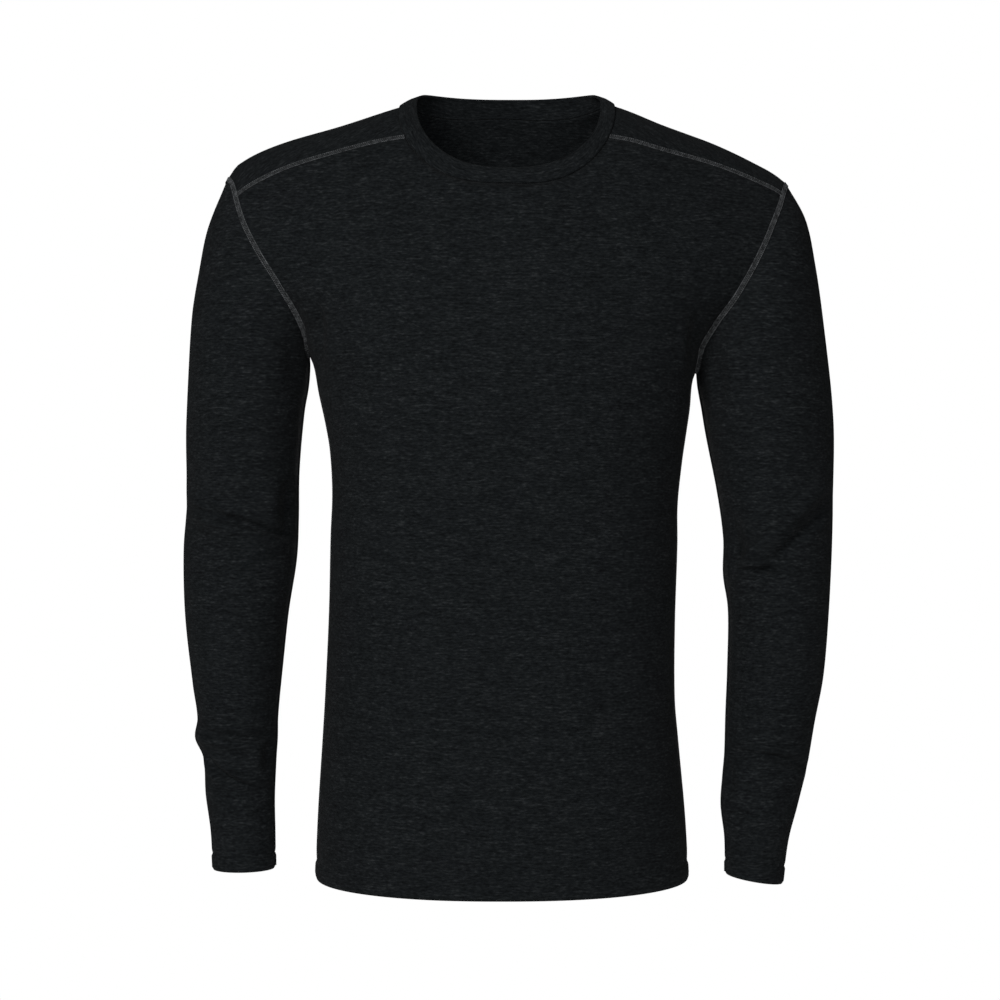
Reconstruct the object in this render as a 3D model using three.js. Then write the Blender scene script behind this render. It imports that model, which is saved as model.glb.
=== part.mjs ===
// A long-sleeved crew-neck base layer top in fine black heathered knit, filled out as it is when worn.
// Five cut-and-sewn pieces: the front, the back (which runs over the shoulders to the forward
// shoulder seams), two sleeves and the neck band. Each is a thin cloth wall; the neck, the hem
// and the cuffs are open.
// Millimetres, +Z up, front towards -Y, +X towards the wearer's left. The origin lies midway between
// the high shoulder points, at the base of the neck.

import * as THREE from 'three';

// The cloth and its seams.
const WALL = 1.5; // thickness of the single knit
const HEM_WALL = 2.6; // thickness where the cloth is doubled: the turned hems and the neck band
const HEM_DEPTH = 14; // height of the turned hem and cuffs
const SEAM_GAP = 0.3; // clearance between two pieces at a seam
const THINNEST_MITRE = 0.45; // limits how far a wall's corner reaches in at a folded seam

// The body: its hem, its armpits and how many steps it is made in.
const HEM_SIDE_Z = -700.5;
const HEM_DIP = 6.5; // the hem hangs this much lower at the middle than at the sides
const ARMPIT_Z = -236.5;
const ARMPIT_TILT = 7.5; // the wearer's left armpit is lower than the right one by twice this
const SIDE_ROWS = 17;
const SHOULDER_COLUMNS = 7;
const NECK_COLUMNS = 12;
const FRONT_ARMHOLE_ROWS = 9;
const BACK_ARMHOLE_ROWS = 15;
// How fast the grid under the neckline straightens downwards: its columns at once, its rows more slowly.
const DIP_FADE = { turn: 8, level: 3 };
const CURVE_STEPS = 240; // how finely a seam is measured before it is divided evenly

// Level -1 is the hem and level 0 the armpit. Above it the body arches over the shoulders, and level 1
// is the ridge. A row holds where the middle lies, the half width, the depth to the front and to the
// back, and how square the section is.
const BODY_SECTIONS = [
  { level: -1.0, middle: -0.5, halfWidth: 167, front: 108, back: 103, square: 2.3 },
  { level: -0.88, middle: -0.9, halfWidth: 164.3, front: 107, back: 103, square: 2.3 },
  { level: -0.73, middle: -1.8, halfWidth: 159, front: 104, back: 102, square: 2.3 },
  { level: -0.65, middle: -2.2, halfWidth: 156.4, front: 103, back: 100, square: 2.3 },
  { level: -0.5, middle: -0.5, halfWidth: 154.9, front: 103, back: 95, square: 2.3 },
  { level: -0.35, middle: 1.4, halfWidth: 155.2, front: 105, back: 93, square: 2.3 },
  { level: -0.27, middle: 2.2, halfWidth: 154.6, front: 108, back: 95, square: 2.35 },
  { level: -0.19, middle: 3.0, halfWidth: 157.5, front: 112, back: 98, square: 2.4 },
  { level: -0.135, middle: 2.6, halfWidth: 161.5, front: 114, back: 101, square: 2.45 },
  { level: -0.08, middle: 1.6, halfWidth: 166.2, front: 115, back: 103, square: 2.45 },
  { level: -0.03, middle: 0.5, halfWidth: 169.3, front: 116, back: 105, square: 2.45 },
  { level: 0.0, middle: 0, halfWidth: 174, front: 116, back: 106, square: 2.45 },
  { level: 0.06, middle: 0, halfWidth: 179, front: 116, back: 107, square: 2.4 },
  { level: 0.12, middle: 0, halfWidth: 196, front: 115, back: 107, square: 2.35 },
  { level: 0.2, middle: 0, halfWidth: 228, front: 115, back: 107, square: 2.25 },
  { level: 0.31, middle: 0, halfWidth: 262, front: 113, back: 107, square: 2.1 },
  { level: 0.45, middle: 0, halfWidth: 288, front: 110, back: 106, square: 2.0 },
  { level: 0.65, middle: 0, halfWidth: 292, front: 102, back: 102, square: 2.0 },
  { level: 1.0, middle: 0, halfWidth: 292, front: 98, back: 98, square: 2.0 },
];

// The ridge of the shoulders seen from the front. Between the neck points it only guides the neckline.
const SHOULDER_RIDGE = [
  { x: -256, y: 0, z: -86 },
  { x: -248, y: 0, z: -76 },
  { x: -237, y: 0, z: -61 },
  { x: -203, y: 1, z: -44 },
  { x: -145, y: 3, z: -26.5 },
  { x: -95, y: 6, z: -10 },
  { x: 0, y: 25, z: 20 },
  { x: 103, y: 6, z: -8.5 },
  { x: 145, y: 3, z: -26 },
  { x: 191, y: 2, z: -43.5 },
  { x: 228, y: 0, z: -61 },
  { x: 246, y: 0, z: -71 },
  { x: 264, y: 0, z: -87 },
];

// The armhole seam: how far out it lies on the wearer's right and left, from the armpit (level 0)
// up the front to the ridge (1) and down the back to the armpit (2).
const ARMHOLE = [
  { level: 0.0, right: 173.9, left: 173.9 },
  { level: 0.06, right: 176.5, left: 177 },
  { level: 0.12, right: 184, left: 188.5 },
  { level: 0.2, right: 197, left: 205 },
  { level: 0.31, right: 214, left: 221 },
  { level: 0.45, right: 228.5, left: 235 },
  { level: 0.65, right: 238.5, left: 247.5 },
  { level: 1.0, right: 248, left: 255.5 },
  { level: 1.35, right: 244, left: 250 },
  { level: 1.55, right: 234, left: 240 },
  { level: 1.7, right: 219, left: 225 },
  { level: 1.8, right: 203, left: 209 },
  { level: 1.88, right: 187, left: 191 },
  { level: 1.94, right: 177, left: 178 },
  { level: 2.0, right: 173.9, left: 173.9 },
];

// The shoulder seams lie on the front. Each runs from the armhole, at its tip's level, to the neckline and
// bows up by this much of a level halfway.
const NECK_SEAM_LEVEL = 0.635;
const SHOULDER_SEAM = { right: { tip: 0.595, bow: 0.04 }, left: { tip: 0.705, bow: 0.01 } };

// The neckline seam, an egg in the body's own surface, and the free edge of the band.
const NECKLINE = { x: 3.9, halfWidth: 97, level: 0.848, front: 0.457, back: 0.463, round: 2.4 };
const BAND_EDGE = {
  x: 5.6,
  halfWidth: 82.5,
  front: -76,
  back: 62,
  frontZ: -75,
  backZ: 6.7,
  curve: 1.97,
  rise: 4.9,
  round: 2.5,
};
const BAND_ROWS = 3;
const BAND_CROWN = 1.2; // the band rounds out by this much between its seam and its edge

// Sleeve sections from the armhole to the cuff: the outer and the inner edge seen from the front,
// the depth at which the section's middle lies, and its half depth.
const SLEEVE_RIGHT = [
  { outX: -264.6, outZ: -117.8, inX: -174.0, inZ: -244.0, y: 4, half: 65 },
  { outX: -272.7, outZ: -155.6, inX: -175.4, inZ: -262.0, y: 4, half: 65 },
  { outX: -279.5, outZ: -198.9, inX: -179.0, inZ: -283.7, y: 4, half: 62 },
  { outX: -284.7, outZ: -290.8, inX: -183.6, inZ: -335.9, y: 6, half: 57 },
  { outX: -284.9, outZ: -361.2, inX: -184.7, inZ: -379.3, y: 8, half: 54 },
  { outX: -287.6, outZ: -408.1, inX: -186.4, inZ: -415.4, y: 7, half: 51 },
  { outX: -285.2, outZ: -466.5, inX: -193.1, inZ: -464.7, y: 0, half: 48 },
  { outX: -277.0, outZ: -527.7, inX: -198.7, inZ: -525.9, y: -12, half: 42 },
  { outX: -272.0, outZ: -557.0, inX: -200.8, inZ: -556.0, y: -18, half: 38 },
  { outX: -273.6, outZ: -574.0, inX: -200.9, inZ: -574.0, y: -22, half: 36.5 },
  { outX: -265.8, outZ: -592.0, inX: -202.0, inZ: -592.6, y: -25, half: 34 },
  { outX: -263.0, outZ: -623.8, inX: -202.7, inZ: -625.5, y: -32, half: 31 },
  { outX: -257.9, outZ: -655.0, inX: -201.5, inZ: -655.0, y: -38, half: 29 },
  { outX: -255.4, outZ: -688.0, inX: -200.6, inZ: -687.2, y: -44, half: 28 },
];
const SLEEVE_LEFT = [
  { outX: 272.0, outZ: -111.2, inX: 175.8, inZ: -260.5, y: 0, half: 65 },
  { outX: 280.9, outZ: -151.8, inX: 179.3, inZ: -280.3, y: -1, half: 66 },
  { outX: 287.2, outZ: -196.7, inX: 182.9, inZ: -301.9, y: -2, half: 63 },
  { outX: 297.3, outZ: -291.0, inX: 193.0, inZ: -352.2, y: -1, half: 58 },
  { outX: 297.0, outZ: -363.0, inX: 199.3, inZ: -397.2, y: 0, half: 54 },
  { outX: 295.7, outZ: -414.0, inX: 199.0, inZ: -430.0, y: -1, half: 51 },
  { outX: 292.6, outZ: -463.5, inX: 202.8, inZ: -461.7, y: -6, half: 48 },
  { outX: 286.3, outZ: -519.4, inX: 201.5, inZ: -514.9, y: -16, half: 43 },
  { outX: 277.5, outZ: -560.0, inX: 199.0, inZ: -556.0, y: -24, half: 40 },
  { outX: 271.5, outZ: -590.0, inX: 197.5, inZ: -587.0, y: -31, half: 37 },
  { outX: 267.0, outZ: -609.2, inX: 195.3, inZ: -607.4, y: -35, half: 35 },
  { outX: 260.2, outZ: -633.4, inX: 193.3, inZ: -631.6, y: -40, half: 33 },
  { outX: 252.0, outZ: -662.0, inX: 196.2, inZ: -660.0, y: -45, half: 29 },
  { outX: 246.3, outZ: -699.5, inX: 196.3, inZ: -691.5, y: -50, half: 27 },
];
const SLEEVE_ROWS = 38;

// Folds of a sleeve: where the crease lies down the sleeve (0 at the armhole, 1 at the cuff) and round it
// (0 outside, 90 front, 180 inside, 270 back), how far round it reaches, how it slants,
// its width down the sleeve in millimetres and its depth.
const FOLDS_RIGHT = [
  { down: 0.475, round: 70, reach: 75, slant: 0.055, width: 12, depth: 3.6 },
  { down: 0.432, round: 40, reach: 40, slant: 0.02, width: 9, depth: 1.6 },
  { down: 0.5, round: 285, reach: 60, slant: -0.03, width: 13, depth: 2.6 },
  { down: 0.812, round: 75, reach: 75, slant: 0.0, width: 9, depth: 2.8 },
  { down: 0.875, round: 110, reach: 70, slant: 0.03, width: 10, depth: 2.0 },
  { down: 0.84, round: 270, reach: 70, slant: 0.02, width: 10, depth: 2.2 },
];
const FOLDS_LEFT = [
  { down: 0.475, round: 95, reach: 85, slant: 0.11, width: 13, depth: 3.8 },
  { down: 0.535, round: 125, reach: 45, slant: 0.02, width: 8, depth: 2.0 },
  { down: 0.5, round: 280, reach: 60, slant: -0.04, width: 13, depth: 2.6 },
  { down: 0.815, round: 80, reach: 75, slant: 0.0, width: 9, depth: 2.6 },
  { down: 0.85, round: 60, reach: 60, slant: -0.015, width: 9, depth: 2.0 },
  { down: 0.845, round: 275, reach: 70, slant: 0.02, width: 10, depth: 2.2 },
];

const SWELL = 0.6; // the cloth above a fold swells out by this share of the fold's depth
const SWELL_PLACE = 1.7; // this many fold widths above it

const BLACK_KNIT = new THREE.MeshStandardMaterial({ color: 0x16181a, roughness: 0.95, metalness: 0 });

const mix = (a, b, t) => a + (b - a) * t;
const radians = (degrees) => (degrees * Math.PI) / 180;
const power = (value, exponent) => Math.sign(value) * Math.abs(value) ** exponent;

// A smooth curve through the rows of a table: the value of one column at a place in another.
function through(rows, place, column, at) {
  const last = rows.length - 1;
  let i = 0;
  while (i < last - 1 && rows[i + 1][place] < at) i += 1;
  const slope = (k) => {
    const before = rows[Math.max(k - 1, 0)];
    const after = rows[Math.min(k + 1, last)];
    return (after[column] - before[column]) / (after[place] - before[place]);
  };
  const a = rows[i];
  const b = rows[i + 1];
  const span = b[place] - a[place];
  const t = Math.min(Math.max((at - a[place]) / span, 0), 1);
  const turn = t * t * (3 - 2 * t);
  const leave = t * (1 - t) * (1 - t) * span * slope(i);
  const arrive = t * t * (t - 1) * span * slope(i + 1);
  return mix(a[column], b[column], turn) + leave + arrive;
}

// A point of the body's outside. side is -1 on the front and 1 on the back; turn goes from -90 degrees
// at the wearer's right side seam over 0 in the middle to 90 at the left one; level is as in the tables.
function bodyPoint(side, turn, level) {
  const mirrored = level > 1 ? 2 - level : level;
  const section = (column) => through(BODY_SECTIONS, 'level', column, mirrored);
  const across = Math.sin(radians(turn));
  const x = section('middle') + section('halfWidth') * across;
  const armpit = ARMPIT_Z - ARMPIT_TILT * across;
  const hem = HEM_SIDE_Z - HEM_DIP * Math.cos(radians(turn));
  const facing = level > 1 ? -side : side;
  const depth = section(facing < 0 ? 'front' : 'back');
  const square = section('square');
  const round = Math.max(1 - Math.abs(across) ** square, 0) ** (1 / square);
  if (level <= 0) {
    return new THREE.Vector3(x, facing * depth * round, armpit + level * (armpit - hem));
  }
  const rise = Math.sin(radians(90 * mirrored));
  const lean = Math.cos(radians(90 * mirrored));
  const ridgeY = through(SHOULDER_RIDGE, 'x', 'y', x);
  const ridgeZ = through(SHOULDER_RIDGE, 'x', 'z', x);
  const y = ridgeY * rise * rise + facing * depth * round * lean;
  return new THREE.Vector3(x, y, mix(armpit, ridgeZ, rise));
}

// The turn at which a point above the armpit, where the sections have their middle at 0, lies this far out.
function turnAt(x, level) {
  const halfWidth = through(BODY_SECTIONS, 'level', 'halfWidth', level > 1 ? 2 - level : level);
  return THREE.MathUtils.radToDeg(Math.asin(Math.min(Math.max(x / halfWidth, -1), 1)));
}

// Marks on the body are kept as { turn, level } on the front's side, where a level over 1 lies on the
// back; the back counts its levels the other way.
const onBack = (mark) => ({ turn: mark.turn, level: 2 - mark.level });
const markPoint = (mark) => bodyPoint(-1, mark.turn, mark.level);

// The same curve again, with its marks spaced evenly along it.
function evenly(curve, steps) {
  const marks = Array.from({ length: CURVE_STEPS + 1 }, (_, i) => curve(i / CURVE_STEPS));
  const points = marks.map(markPoint);
  const along = [0];
  for (let i = 1; i <= CURVE_STEPS; i += 1) {
    along.push(along[i - 1] + points[i].distanceTo(points[i - 1]));
  }
  const spaced = [];
  let i = 0;
  for (let k = 0; k <= steps; k += 1) {
    const goal = (along[CURVE_STEPS] * k) / steps;
    while (i < CURVE_STEPS - 1 && along[i + 1] < goal) i += 1;
    const t = (goal - along[i]) / (along[i + 1] - along[i]);
    const between = (key) => mix(marks[i][key], marks[i + 1][key], t);
    spaced.push({ turn: between('turn'), level: between('level') });
  }
  return spaced;
}

// Seams, as marks. hand is -1 on the wearer's right and 1 on the left.
function armholeCurve(hand, from, to) {
  const name = hand < 0 ? 'right' : 'left';
  return (t) => {
    const level = mix(from, to, t);
    return { turn: turnAt(hand * through(ARMHOLE, 'level', name, level), level), level };
  };
}

function shoulderCurve(hand) {
  const name = hand < 0 ? 'right' : 'left';
  const neck = necklineMark(hand * NECK_SEAM_ANGLE);
  const { tip, bow } = SHOULDER_SEAM[name];
  const tipX = hand * through(ARMHOLE, 'level', name, tip);
  const neckX = markPoint(neck).x;
  return (t) => {
    const level = mix(tip, neck.level, t) + bow * 4 * t * (1 - t);
    return { turn: turnAt(mix(tipX, neckX, t), level), level };
  };
}

// angle runs from 0 at the front of the neck to 180 at its back, positive on the wearer's left.
function necklineMark(angle) {
  const up = Math.cos(radians(angle));
  const x = NECKLINE.x + NECKLINE.halfWidth * power(Math.sin(radians(angle)), 2 / NECKLINE.round);
  const reach = up > 0 ? NECKLINE.front : NECKLINE.back;
  const level = NECKLINE.level - reach * power(up, 2 / NECKLINE.round);
  return { turn: turnAt(x, level), level };
}

function seamAngleOnNeckline() {
  let low = 0;
  let high = 90;
  for (let i = 0; i < 40; i += 1) {
    const middle = (low + high) / 2;
    if (necklineMark(middle).level < NECK_SEAM_LEVEL) low = middle;
    else high = middle;
  }
  return low;
}
const NECK_SEAM_ANGLE = seamAngleOnNeckline();

// A four-sided panel: rows from the hem to the top edge, each from the wearer's right to the left.
// Its marks follow the four edges; the dip of the neckline fades out downwards.
function panelMarks(edges) {
  const { right, left, top } = edges;
  const rows = right.length - 1;
  const columns = top.length - 1;
  return right.map((start, j) => {
    const t = j / rows;
    return top.map((_, i) => {
      const s = i / columns;
      const mark = (key) => {
        const straightTop = mix(top[0][key], top[columns][key], s);
        return mix(start[key], left[j][key], s) + t ** DIP_FADE[key] * (top[i][key] - straightTop);
      };
      return { turn: mark('turn'), level: mark('level') };
    });
  });
}

// The side seam's marks: two close rows hold the turned hem, and the rest are even.
function sideSeam(hand) {
  const hemLevel = HEM_DEPTH / (ARMPIT_Z - HEM_SIDE_Z);
  const levels = [-1, hemLevel - 1];
  for (let j = 2; j <= SIDE_ROWS; j += 1) levels.push(mix(hemLevel - 1, 0, (j - 1) / (SIDE_ROWS - 1)));
  return levels.map((level) => ({ turn: hand * 90, level }));
}

const armholes = {};
for (const [name, hand] of [['right', -1], ['left', 1]]) {
  armholes[name] = {
    front: evenly(armholeCurve(hand, 0, SHOULDER_SEAM[name].tip), FRONT_ARMHOLE_ROWS),
    back: evenly(armholeCurve(hand, 2, SHOULDER_SEAM[name].tip), BACK_ARMHOLE_ROWS),
  };
}
const shoulders = {
  right: evenly(shoulderCurve(-1), SHOULDER_COLUMNS),
  left: evenly(shoulderCurve(1), SHOULDER_COLUMNS),
};
const frontNeck = evenly((t) => necklineMark(mix(-NECK_SEAM_ANGLE, NECK_SEAM_ANGLE, t)), NECK_COLUMNS);
const backNeck = evenly((t) => necklineMark(mix(-NECK_SEAM_ANGLE, NECK_SEAM_ANGLE - 360, t)), NECK_COLUMNS);

// The front and the back, as grids of outside points.
function bodyPanel(side) {
  const isFront = side < 0;
  const own = (marks) => (isFront ? marks : marks.map(onBack));
  const neck = isFront ? frontNeck : backNeck;
  const top = own([...shoulders.right.slice(0, -1), ...neck, ...shoulders.left.slice(0, -1).reverse()]);
  const edge = (name, hand) => {
    const armhole = own(armholes[name][isFront ? 'front' : 'back']);
    return [...sideSeam(hand).slice(0, -1), ...armhole];
  };
  const marks = panelMarks({ right: edge('right', -1), left: edge('left', 1), top });
  return marks.map((row) => row.map((mark) => bodyPoint(side, mark.turn, mark.level)));
}

// How far the folds of a sleeve draw the cloth in at a place: down is 0 at the armhole and 1 at the cuff.
function foldDepth(folds, down, round, length) {
  let depth = 0;
  for (const fold of folds) {
    const away = ((round - fold.round + 540) % 360) - 180;
    if (Math.abs(away) >= fold.reach) continue;
    const strength = Math.cos(radians((90 * away) / fold.reach)) ** 2;
    const offset = ((down - fold.down - (fold.slant * away) / 90) * length) / fold.width;
    const trough = Math.exp(-(offset ** 2));
    const swell = SWELL * Math.exp(-((offset + SWELL_PLACE) ** 2));
    depth += fold.depth * strength * (trough - swell);
  }
  return depth;
}

function middleOf(points) {
  const sum = points.reduce((total, p) => total.add(p), new THREE.Vector3());
  return sum.divideScalar(points.length);
}

// A sleeve, as rings of outside points that start with the armhole's own points and end at the cuff.
function sleeve(name, sections, folds) {
  const front = armholes[name].front.map(markPoint);
  const back = armholes[name].back.map(markPoint);
  const loop = [...front.slice(0, -1), ...back.reverse().slice(0, -1)];
  const count = loop.length;
  const along = [0];
  for (let k = 1; k <= count; k += 1) {
    along.push(along[k - 1] + loop[k % count].distanceTo(loop[k - 1]));
  }
  const angles = loop.map((_, k) => 180 - (360 * along[k]) / along[count]);

  const middles = sections.map((s) => new THREE.Vector3((s.outX + s.inX) / 2, s.y, (s.outZ + s.inZ) / 2));
  const places = [0];
  [middleOf(loop), ...middles].forEach((p, i, all) => {
    if (i > 0) places.push(places[i - 1] + p.distanceTo(all[i - 1]));
  });
  const length = places[places.length - 1];

  const lines = loop.map((start, k) => {
    const c = Math.cos(radians(angles[k]));
    const s = Math.sin(radians(angles[k]));
    const points = sections.map((row, i) => new THREE.Vector3(
      middles[i].x + (c * (row.outX - row.inX)) / 2,
      row.y - s * row.half,
      middles[i].z + (c * (row.outZ - row.inZ)) / 2,
    ));
    return [start, ...points].map((p, i) => ({ place: places[i], x: p.x, y: p.y, z: p.z }));
  });
  const stations = [0];
  for (let j = 1; j < SLEEVE_ROWS; j += 1) {
    stations.push(((length - HEM_DEPTH) * j) / (SLEEVE_ROWS - 1));
  }
  stations.push(length);

  return stations.map((station, j) => {
    const ring = lines.map((line) => {
      const at = (column) => through(line, 'place', column, station);
      return new THREE.Vector3(at('x'), at('y'), at('z'));
    });
    if (j === 0) return ring;
    const middle = middleOf(ring);
    return ring.map((point, k) => {
      const inward = middle.clone().sub(point).normalize();
      return point.clone().addScaledVector(inward, foldDepth(folds, station / length, angles[k], length));
    });
  });
}

// The neck band, as rings from its seam to its free edge.
function neckBand() {
  const ring = [...frontNeck.slice(0, -1), ...backNeck.slice().reverse().slice(0, -1)].map(markPoint);
  const count = ring.length;
  const edge = ring.map((_, k) => {
    const behind = k >= NECK_COLUMNS;
    const t = (k % NECK_COLUMNS) / NECK_COLUMNS;
    const from = behind ? NECK_SEAM_ANGLE : -NECK_SEAM_ANGLE;
    const to = behind ? 360 - NECK_SEAM_ANGLE : NECK_SEAM_ANGLE;
    const angle = radians(mix(from, to, t));
    const forward = (1 + power(Math.cos(angle), 2 / BAND_EDGE.round)) / 2;
    const x = BAND_EDGE.x + BAND_EDGE.halfWidth * power(Math.sin(angle), 2 / BAND_EDGE.round);
    const y = mix(BAND_EDGE.back, BAND_EDGE.front, forward);
    const slope = mix(BAND_EDGE.backZ, BAND_EDGE.frontZ, forward ** BAND_EDGE.curve);
    const z = slope + BAND_EDGE.rise * Math.sin(Math.PI * forward);
    return new THREE.Vector3(x, y, z);
  });
  const rows = [];
  for (let j = 0; j <= BAND_ROWS; j += 1) {
    rows.push(ring.map((start, k) => {
      const t = j / BAND_ROWS;
      const crown = BAND_CROWN * 4 * t * (1 - t); // a parabola, BAND_CROWN high halfway
      const across = edge[k].clone().sub(start);
      const around = edge[(k + 1) % count].clone().sub(edge[(k + count - 1) % count]);
      const outward = new THREE.Vector3().crossVectors(around, across).normalize();
      return start.clone().lerp(edge[k], t).addScaledVector(outward, crown);
    }));
  }
  return rows;
}

// A piece is a grid of outside points. around says that its rows close on themselves, and flip that they
// run the other way round. seams names the edges that are sewn to a neighbour: the first row, the last row
// and, on a panel, the two sides. hem is the edge that is turned up; the band is doubled all over.
const pieces = [
  { name: 'front', rows: bodyPanel(-1), seams: { last: true, sides: true }, hem: 'first' },
  { name: 'back', rows: bodyPanel(1), flip: true, seams: { last: true, sides: true }, hem: 'first' },
  {
    name: 'sleeve_right',
    rows: sleeve('right', SLEEVE_RIGHT, FOLDS_RIGHT),
    around: true,
    seams: { first: true },
    hem: 'last',
  },
  {
    name: 'sleeve_left',
    rows: sleeve('left', SLEEVE_LEFT, FOLDS_LEFT),
    around: true,
    flip: true,
    seams: { first: true },
    hem: 'last',
  },
  { name: 'neck_band', rows: neckBand(), around: true, seams: { first: true }, doubled: true },
];

// The outward normal at each point, from its neighbours in the grid.
function gridNormals(piece) {
  const { rows, around, flip } = piece;
  const last = rows.length - 1;
  return rows.map((row, j) => row.map((_, i) => {
    const n = row.length;
    const before = around ? row[(i + n - 1) % n] : row[Math.max(i - 1, 0)];
    const after = around ? row[(i + 1) % n] : row[Math.min(i + 1, n - 1)];
    const below = rows[Math.max(j - 1, 0)][i];
    const above = rows[Math.min(j + 1, last)][i];
    const normal = new THREE.Vector3().crossVectors(after.clone().sub(before), above.clone().sub(below));
    return normal.normalize().multiplyScalar(flip ? -1 : 1);
  }));
}

// Where pieces are sewn together they share one normal, so that their cut edges lie face to face.
const placeKey = (p) => `${Math.round(p.x * 100)} ${Math.round(p.y * 100)} ${Math.round(p.z * 100)}`;
const shared = new Map();
for (const piece of pieces) {
  piece.normals = gridNormals(piece);
  piece.rows.forEach((row, j) => row.forEach((point, i) => {
    const onEnd = j === 0 || j === piece.rows.length - 1;
    const onSide = !piece.around && (i === 0 || i === row.length - 1);
    if (!onEnd && !onSide) return;
    const key = placeKey(point);
    if (!shared.has(key)) shared.set(key, []);
    shared.get(key).push(piece.normals[j][i]);
  }));
}

function sewnNormal(point, own) {
  const all = shared.get(placeKey(point));
  if (!all || all.length === 1) return { normal: own, stretch: 1 };
  const normal = all.reduce((sum, n) => sum.add(n), new THREE.Vector3()).normalize();
  const facing = all.reduce((sum, n) => sum + n.dot(normal), 0) / all.length;
  return { normal, stretch: 1 / Math.max(facing, THINNEST_MITRE) };
}

// The direction along the cloth, away from a seam and square to it.
function awayFromSeam(point, inside, tangent, normal) {
  const direction = inside.clone().sub(point);
  const along = tangent.clone().addScaledVector(normal, -tangent.dot(normal)).normalize();
  direction.addScaledVector(normal, -direction.dot(normal));
  direction.addScaledVector(along, -direction.dot(along));
  return direction.normalize();
}

// The outside and inside points of a piece's wall.
function wallPoints(piece) {
  const { rows, around, seams } = piece;
  const last = rows.length - 1;
  const outside = [];
  const inside = [];
  rows.forEach((row, j) => row.forEach((point, i) => {
    const n = row.length;
    const { normal, stretch } = sewnNormal(point, piece.normals[j][i]);
    const before = around ? row[(i + n - 1) % n] : row[Math.max(i - 1, 0)];
    const after = around ? row[(i + 1) % n] : row[Math.min(i + 1, n - 1)];
    const below = rows[Math.max(j - 1, 0)][i];
    const above = rows[Math.min(j + 1, last)][i];
    const placed = point.clone();
    const shift = (neighbour, tangent) => {
      placed.addScaledVector(awayFromSeam(point, neighbour, tangent, normal), SEAM_GAP / 2);
    };
    if (seams.first && j === 0) shift(above, after.clone().sub(before));
    if (seams.last && j === last) shift(below, after.clone().sub(before));
    if (seams.sides && i === 0) shift(after, above.clone().sub(below));
    if (seams.sides && i === n - 1) shift(before, above.clone().sub(below));
    const nearHem = (piece.hem === 'first' && j <= 1) || (piece.hem === 'last' && j >= last - 1);
    const thickness = nearHem || (piece.doubled && j > 0) ? HEM_WALL : WALL;
    outside.push(placed);
    inside.push(placed.clone().addScaledVector(normal, -thickness * stretch));
  }));
  return { outside, inside };
}

// The closed wall: the outside, the inside turned round, and the cut edges between them.
function wallGeometry(piece) {
  const { outside, inside } = wallPoints(piece);
  const rows = piece.rows.length;
  const columns = piece.rows[0].length;
  const steps = piece.around ? columns : columns - 1;
  const index = [];
  const at = (j, i) => j * columns + (i % columns);
  const depth = outside.length;
  // Each four-sided face is split along its shorter diagonal, so that sheared faces stay in the surface.
  const quad = (a, b, c, d) => {
    const all = piece.flip ? [a, d, c, b] : [a, b, c, d];
    const place = all.map((k) => outside[k % depth]);
    const turned = place[1].distanceTo(place[3]) < place[0].distanceTo(place[2]);
    const [e, f, g, h] = turned ? [...all.slice(1), all[0]] : all;
    index.push(e, f, g, e, g, h);
  };
  for (let j = 0; j < rows - 1; j += 1) {
    for (let i = 0; i < steps; i += 1) {
      quad(at(j, i), at(j, i + 1), at(j + 1, i + 1), at(j + 1, i));
      quad(depth + at(j, i), depth + at(j + 1, i), depth + at(j + 1, i + 1), depth + at(j, i + 1));
    }
  }
  const rim = (a, b) => quad(b, a, depth + a, depth + b);
  for (let i = 0; i < steps; i += 1) {
    rim(at(0, i), at(0, i + 1));
    rim(at(rows - 1, i + 1), at(rows - 1, i));
  }
  for (let j = 0; j < rows - 1 && !piece.around; j += 1) {
    rim(at(j + 1, 0), at(j, 0));
    rim(at(j, columns - 1), at(j + 1, columns - 1));
  }
  const geometry = new THREE.BufferGeometry();
  const positions = [...outside, ...inside].flatMap((p) => [p.x, p.y, p.z]);
  geometry.setAttribute('position', new THREE.Float32BufferAttribute(positions, 3));
  geometry.setIndex(index);
  geometry.computeVertexNormals();
  return geometry;
}

const baseLayerTop = new THREE.Group();
for (const piece of pieces) {
  const mesh = new THREE.Mesh(wallGeometry(piece), BLACK_KNIT.clone());
  mesh.name = piece.name;
  baseLayerTop.add(mesh);
}

export default baseLayerTop;
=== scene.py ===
# %% [markdown]
# # A long-sleeved base layer top
# The top is cut from one fine heathered knit and sewn from five pieces: a front, a back that runs over the
# shoulders, two sleeves and a neck band. It is shown filled out, as it is when worn, and open at the neck,
# the hem and the cuffs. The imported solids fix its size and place. This script makes each piece again as a
# thin cloth shell on the same form, and then adds what a sewer adds: flatlock seams, turned hems and
# rows of stitches. The tables are in millimetres, because a tailor's sizes are, and meshes are in metres.

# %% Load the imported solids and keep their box
import math

import bmesh
import bpy
from mathutils import Matrix, Vector, noise


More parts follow.
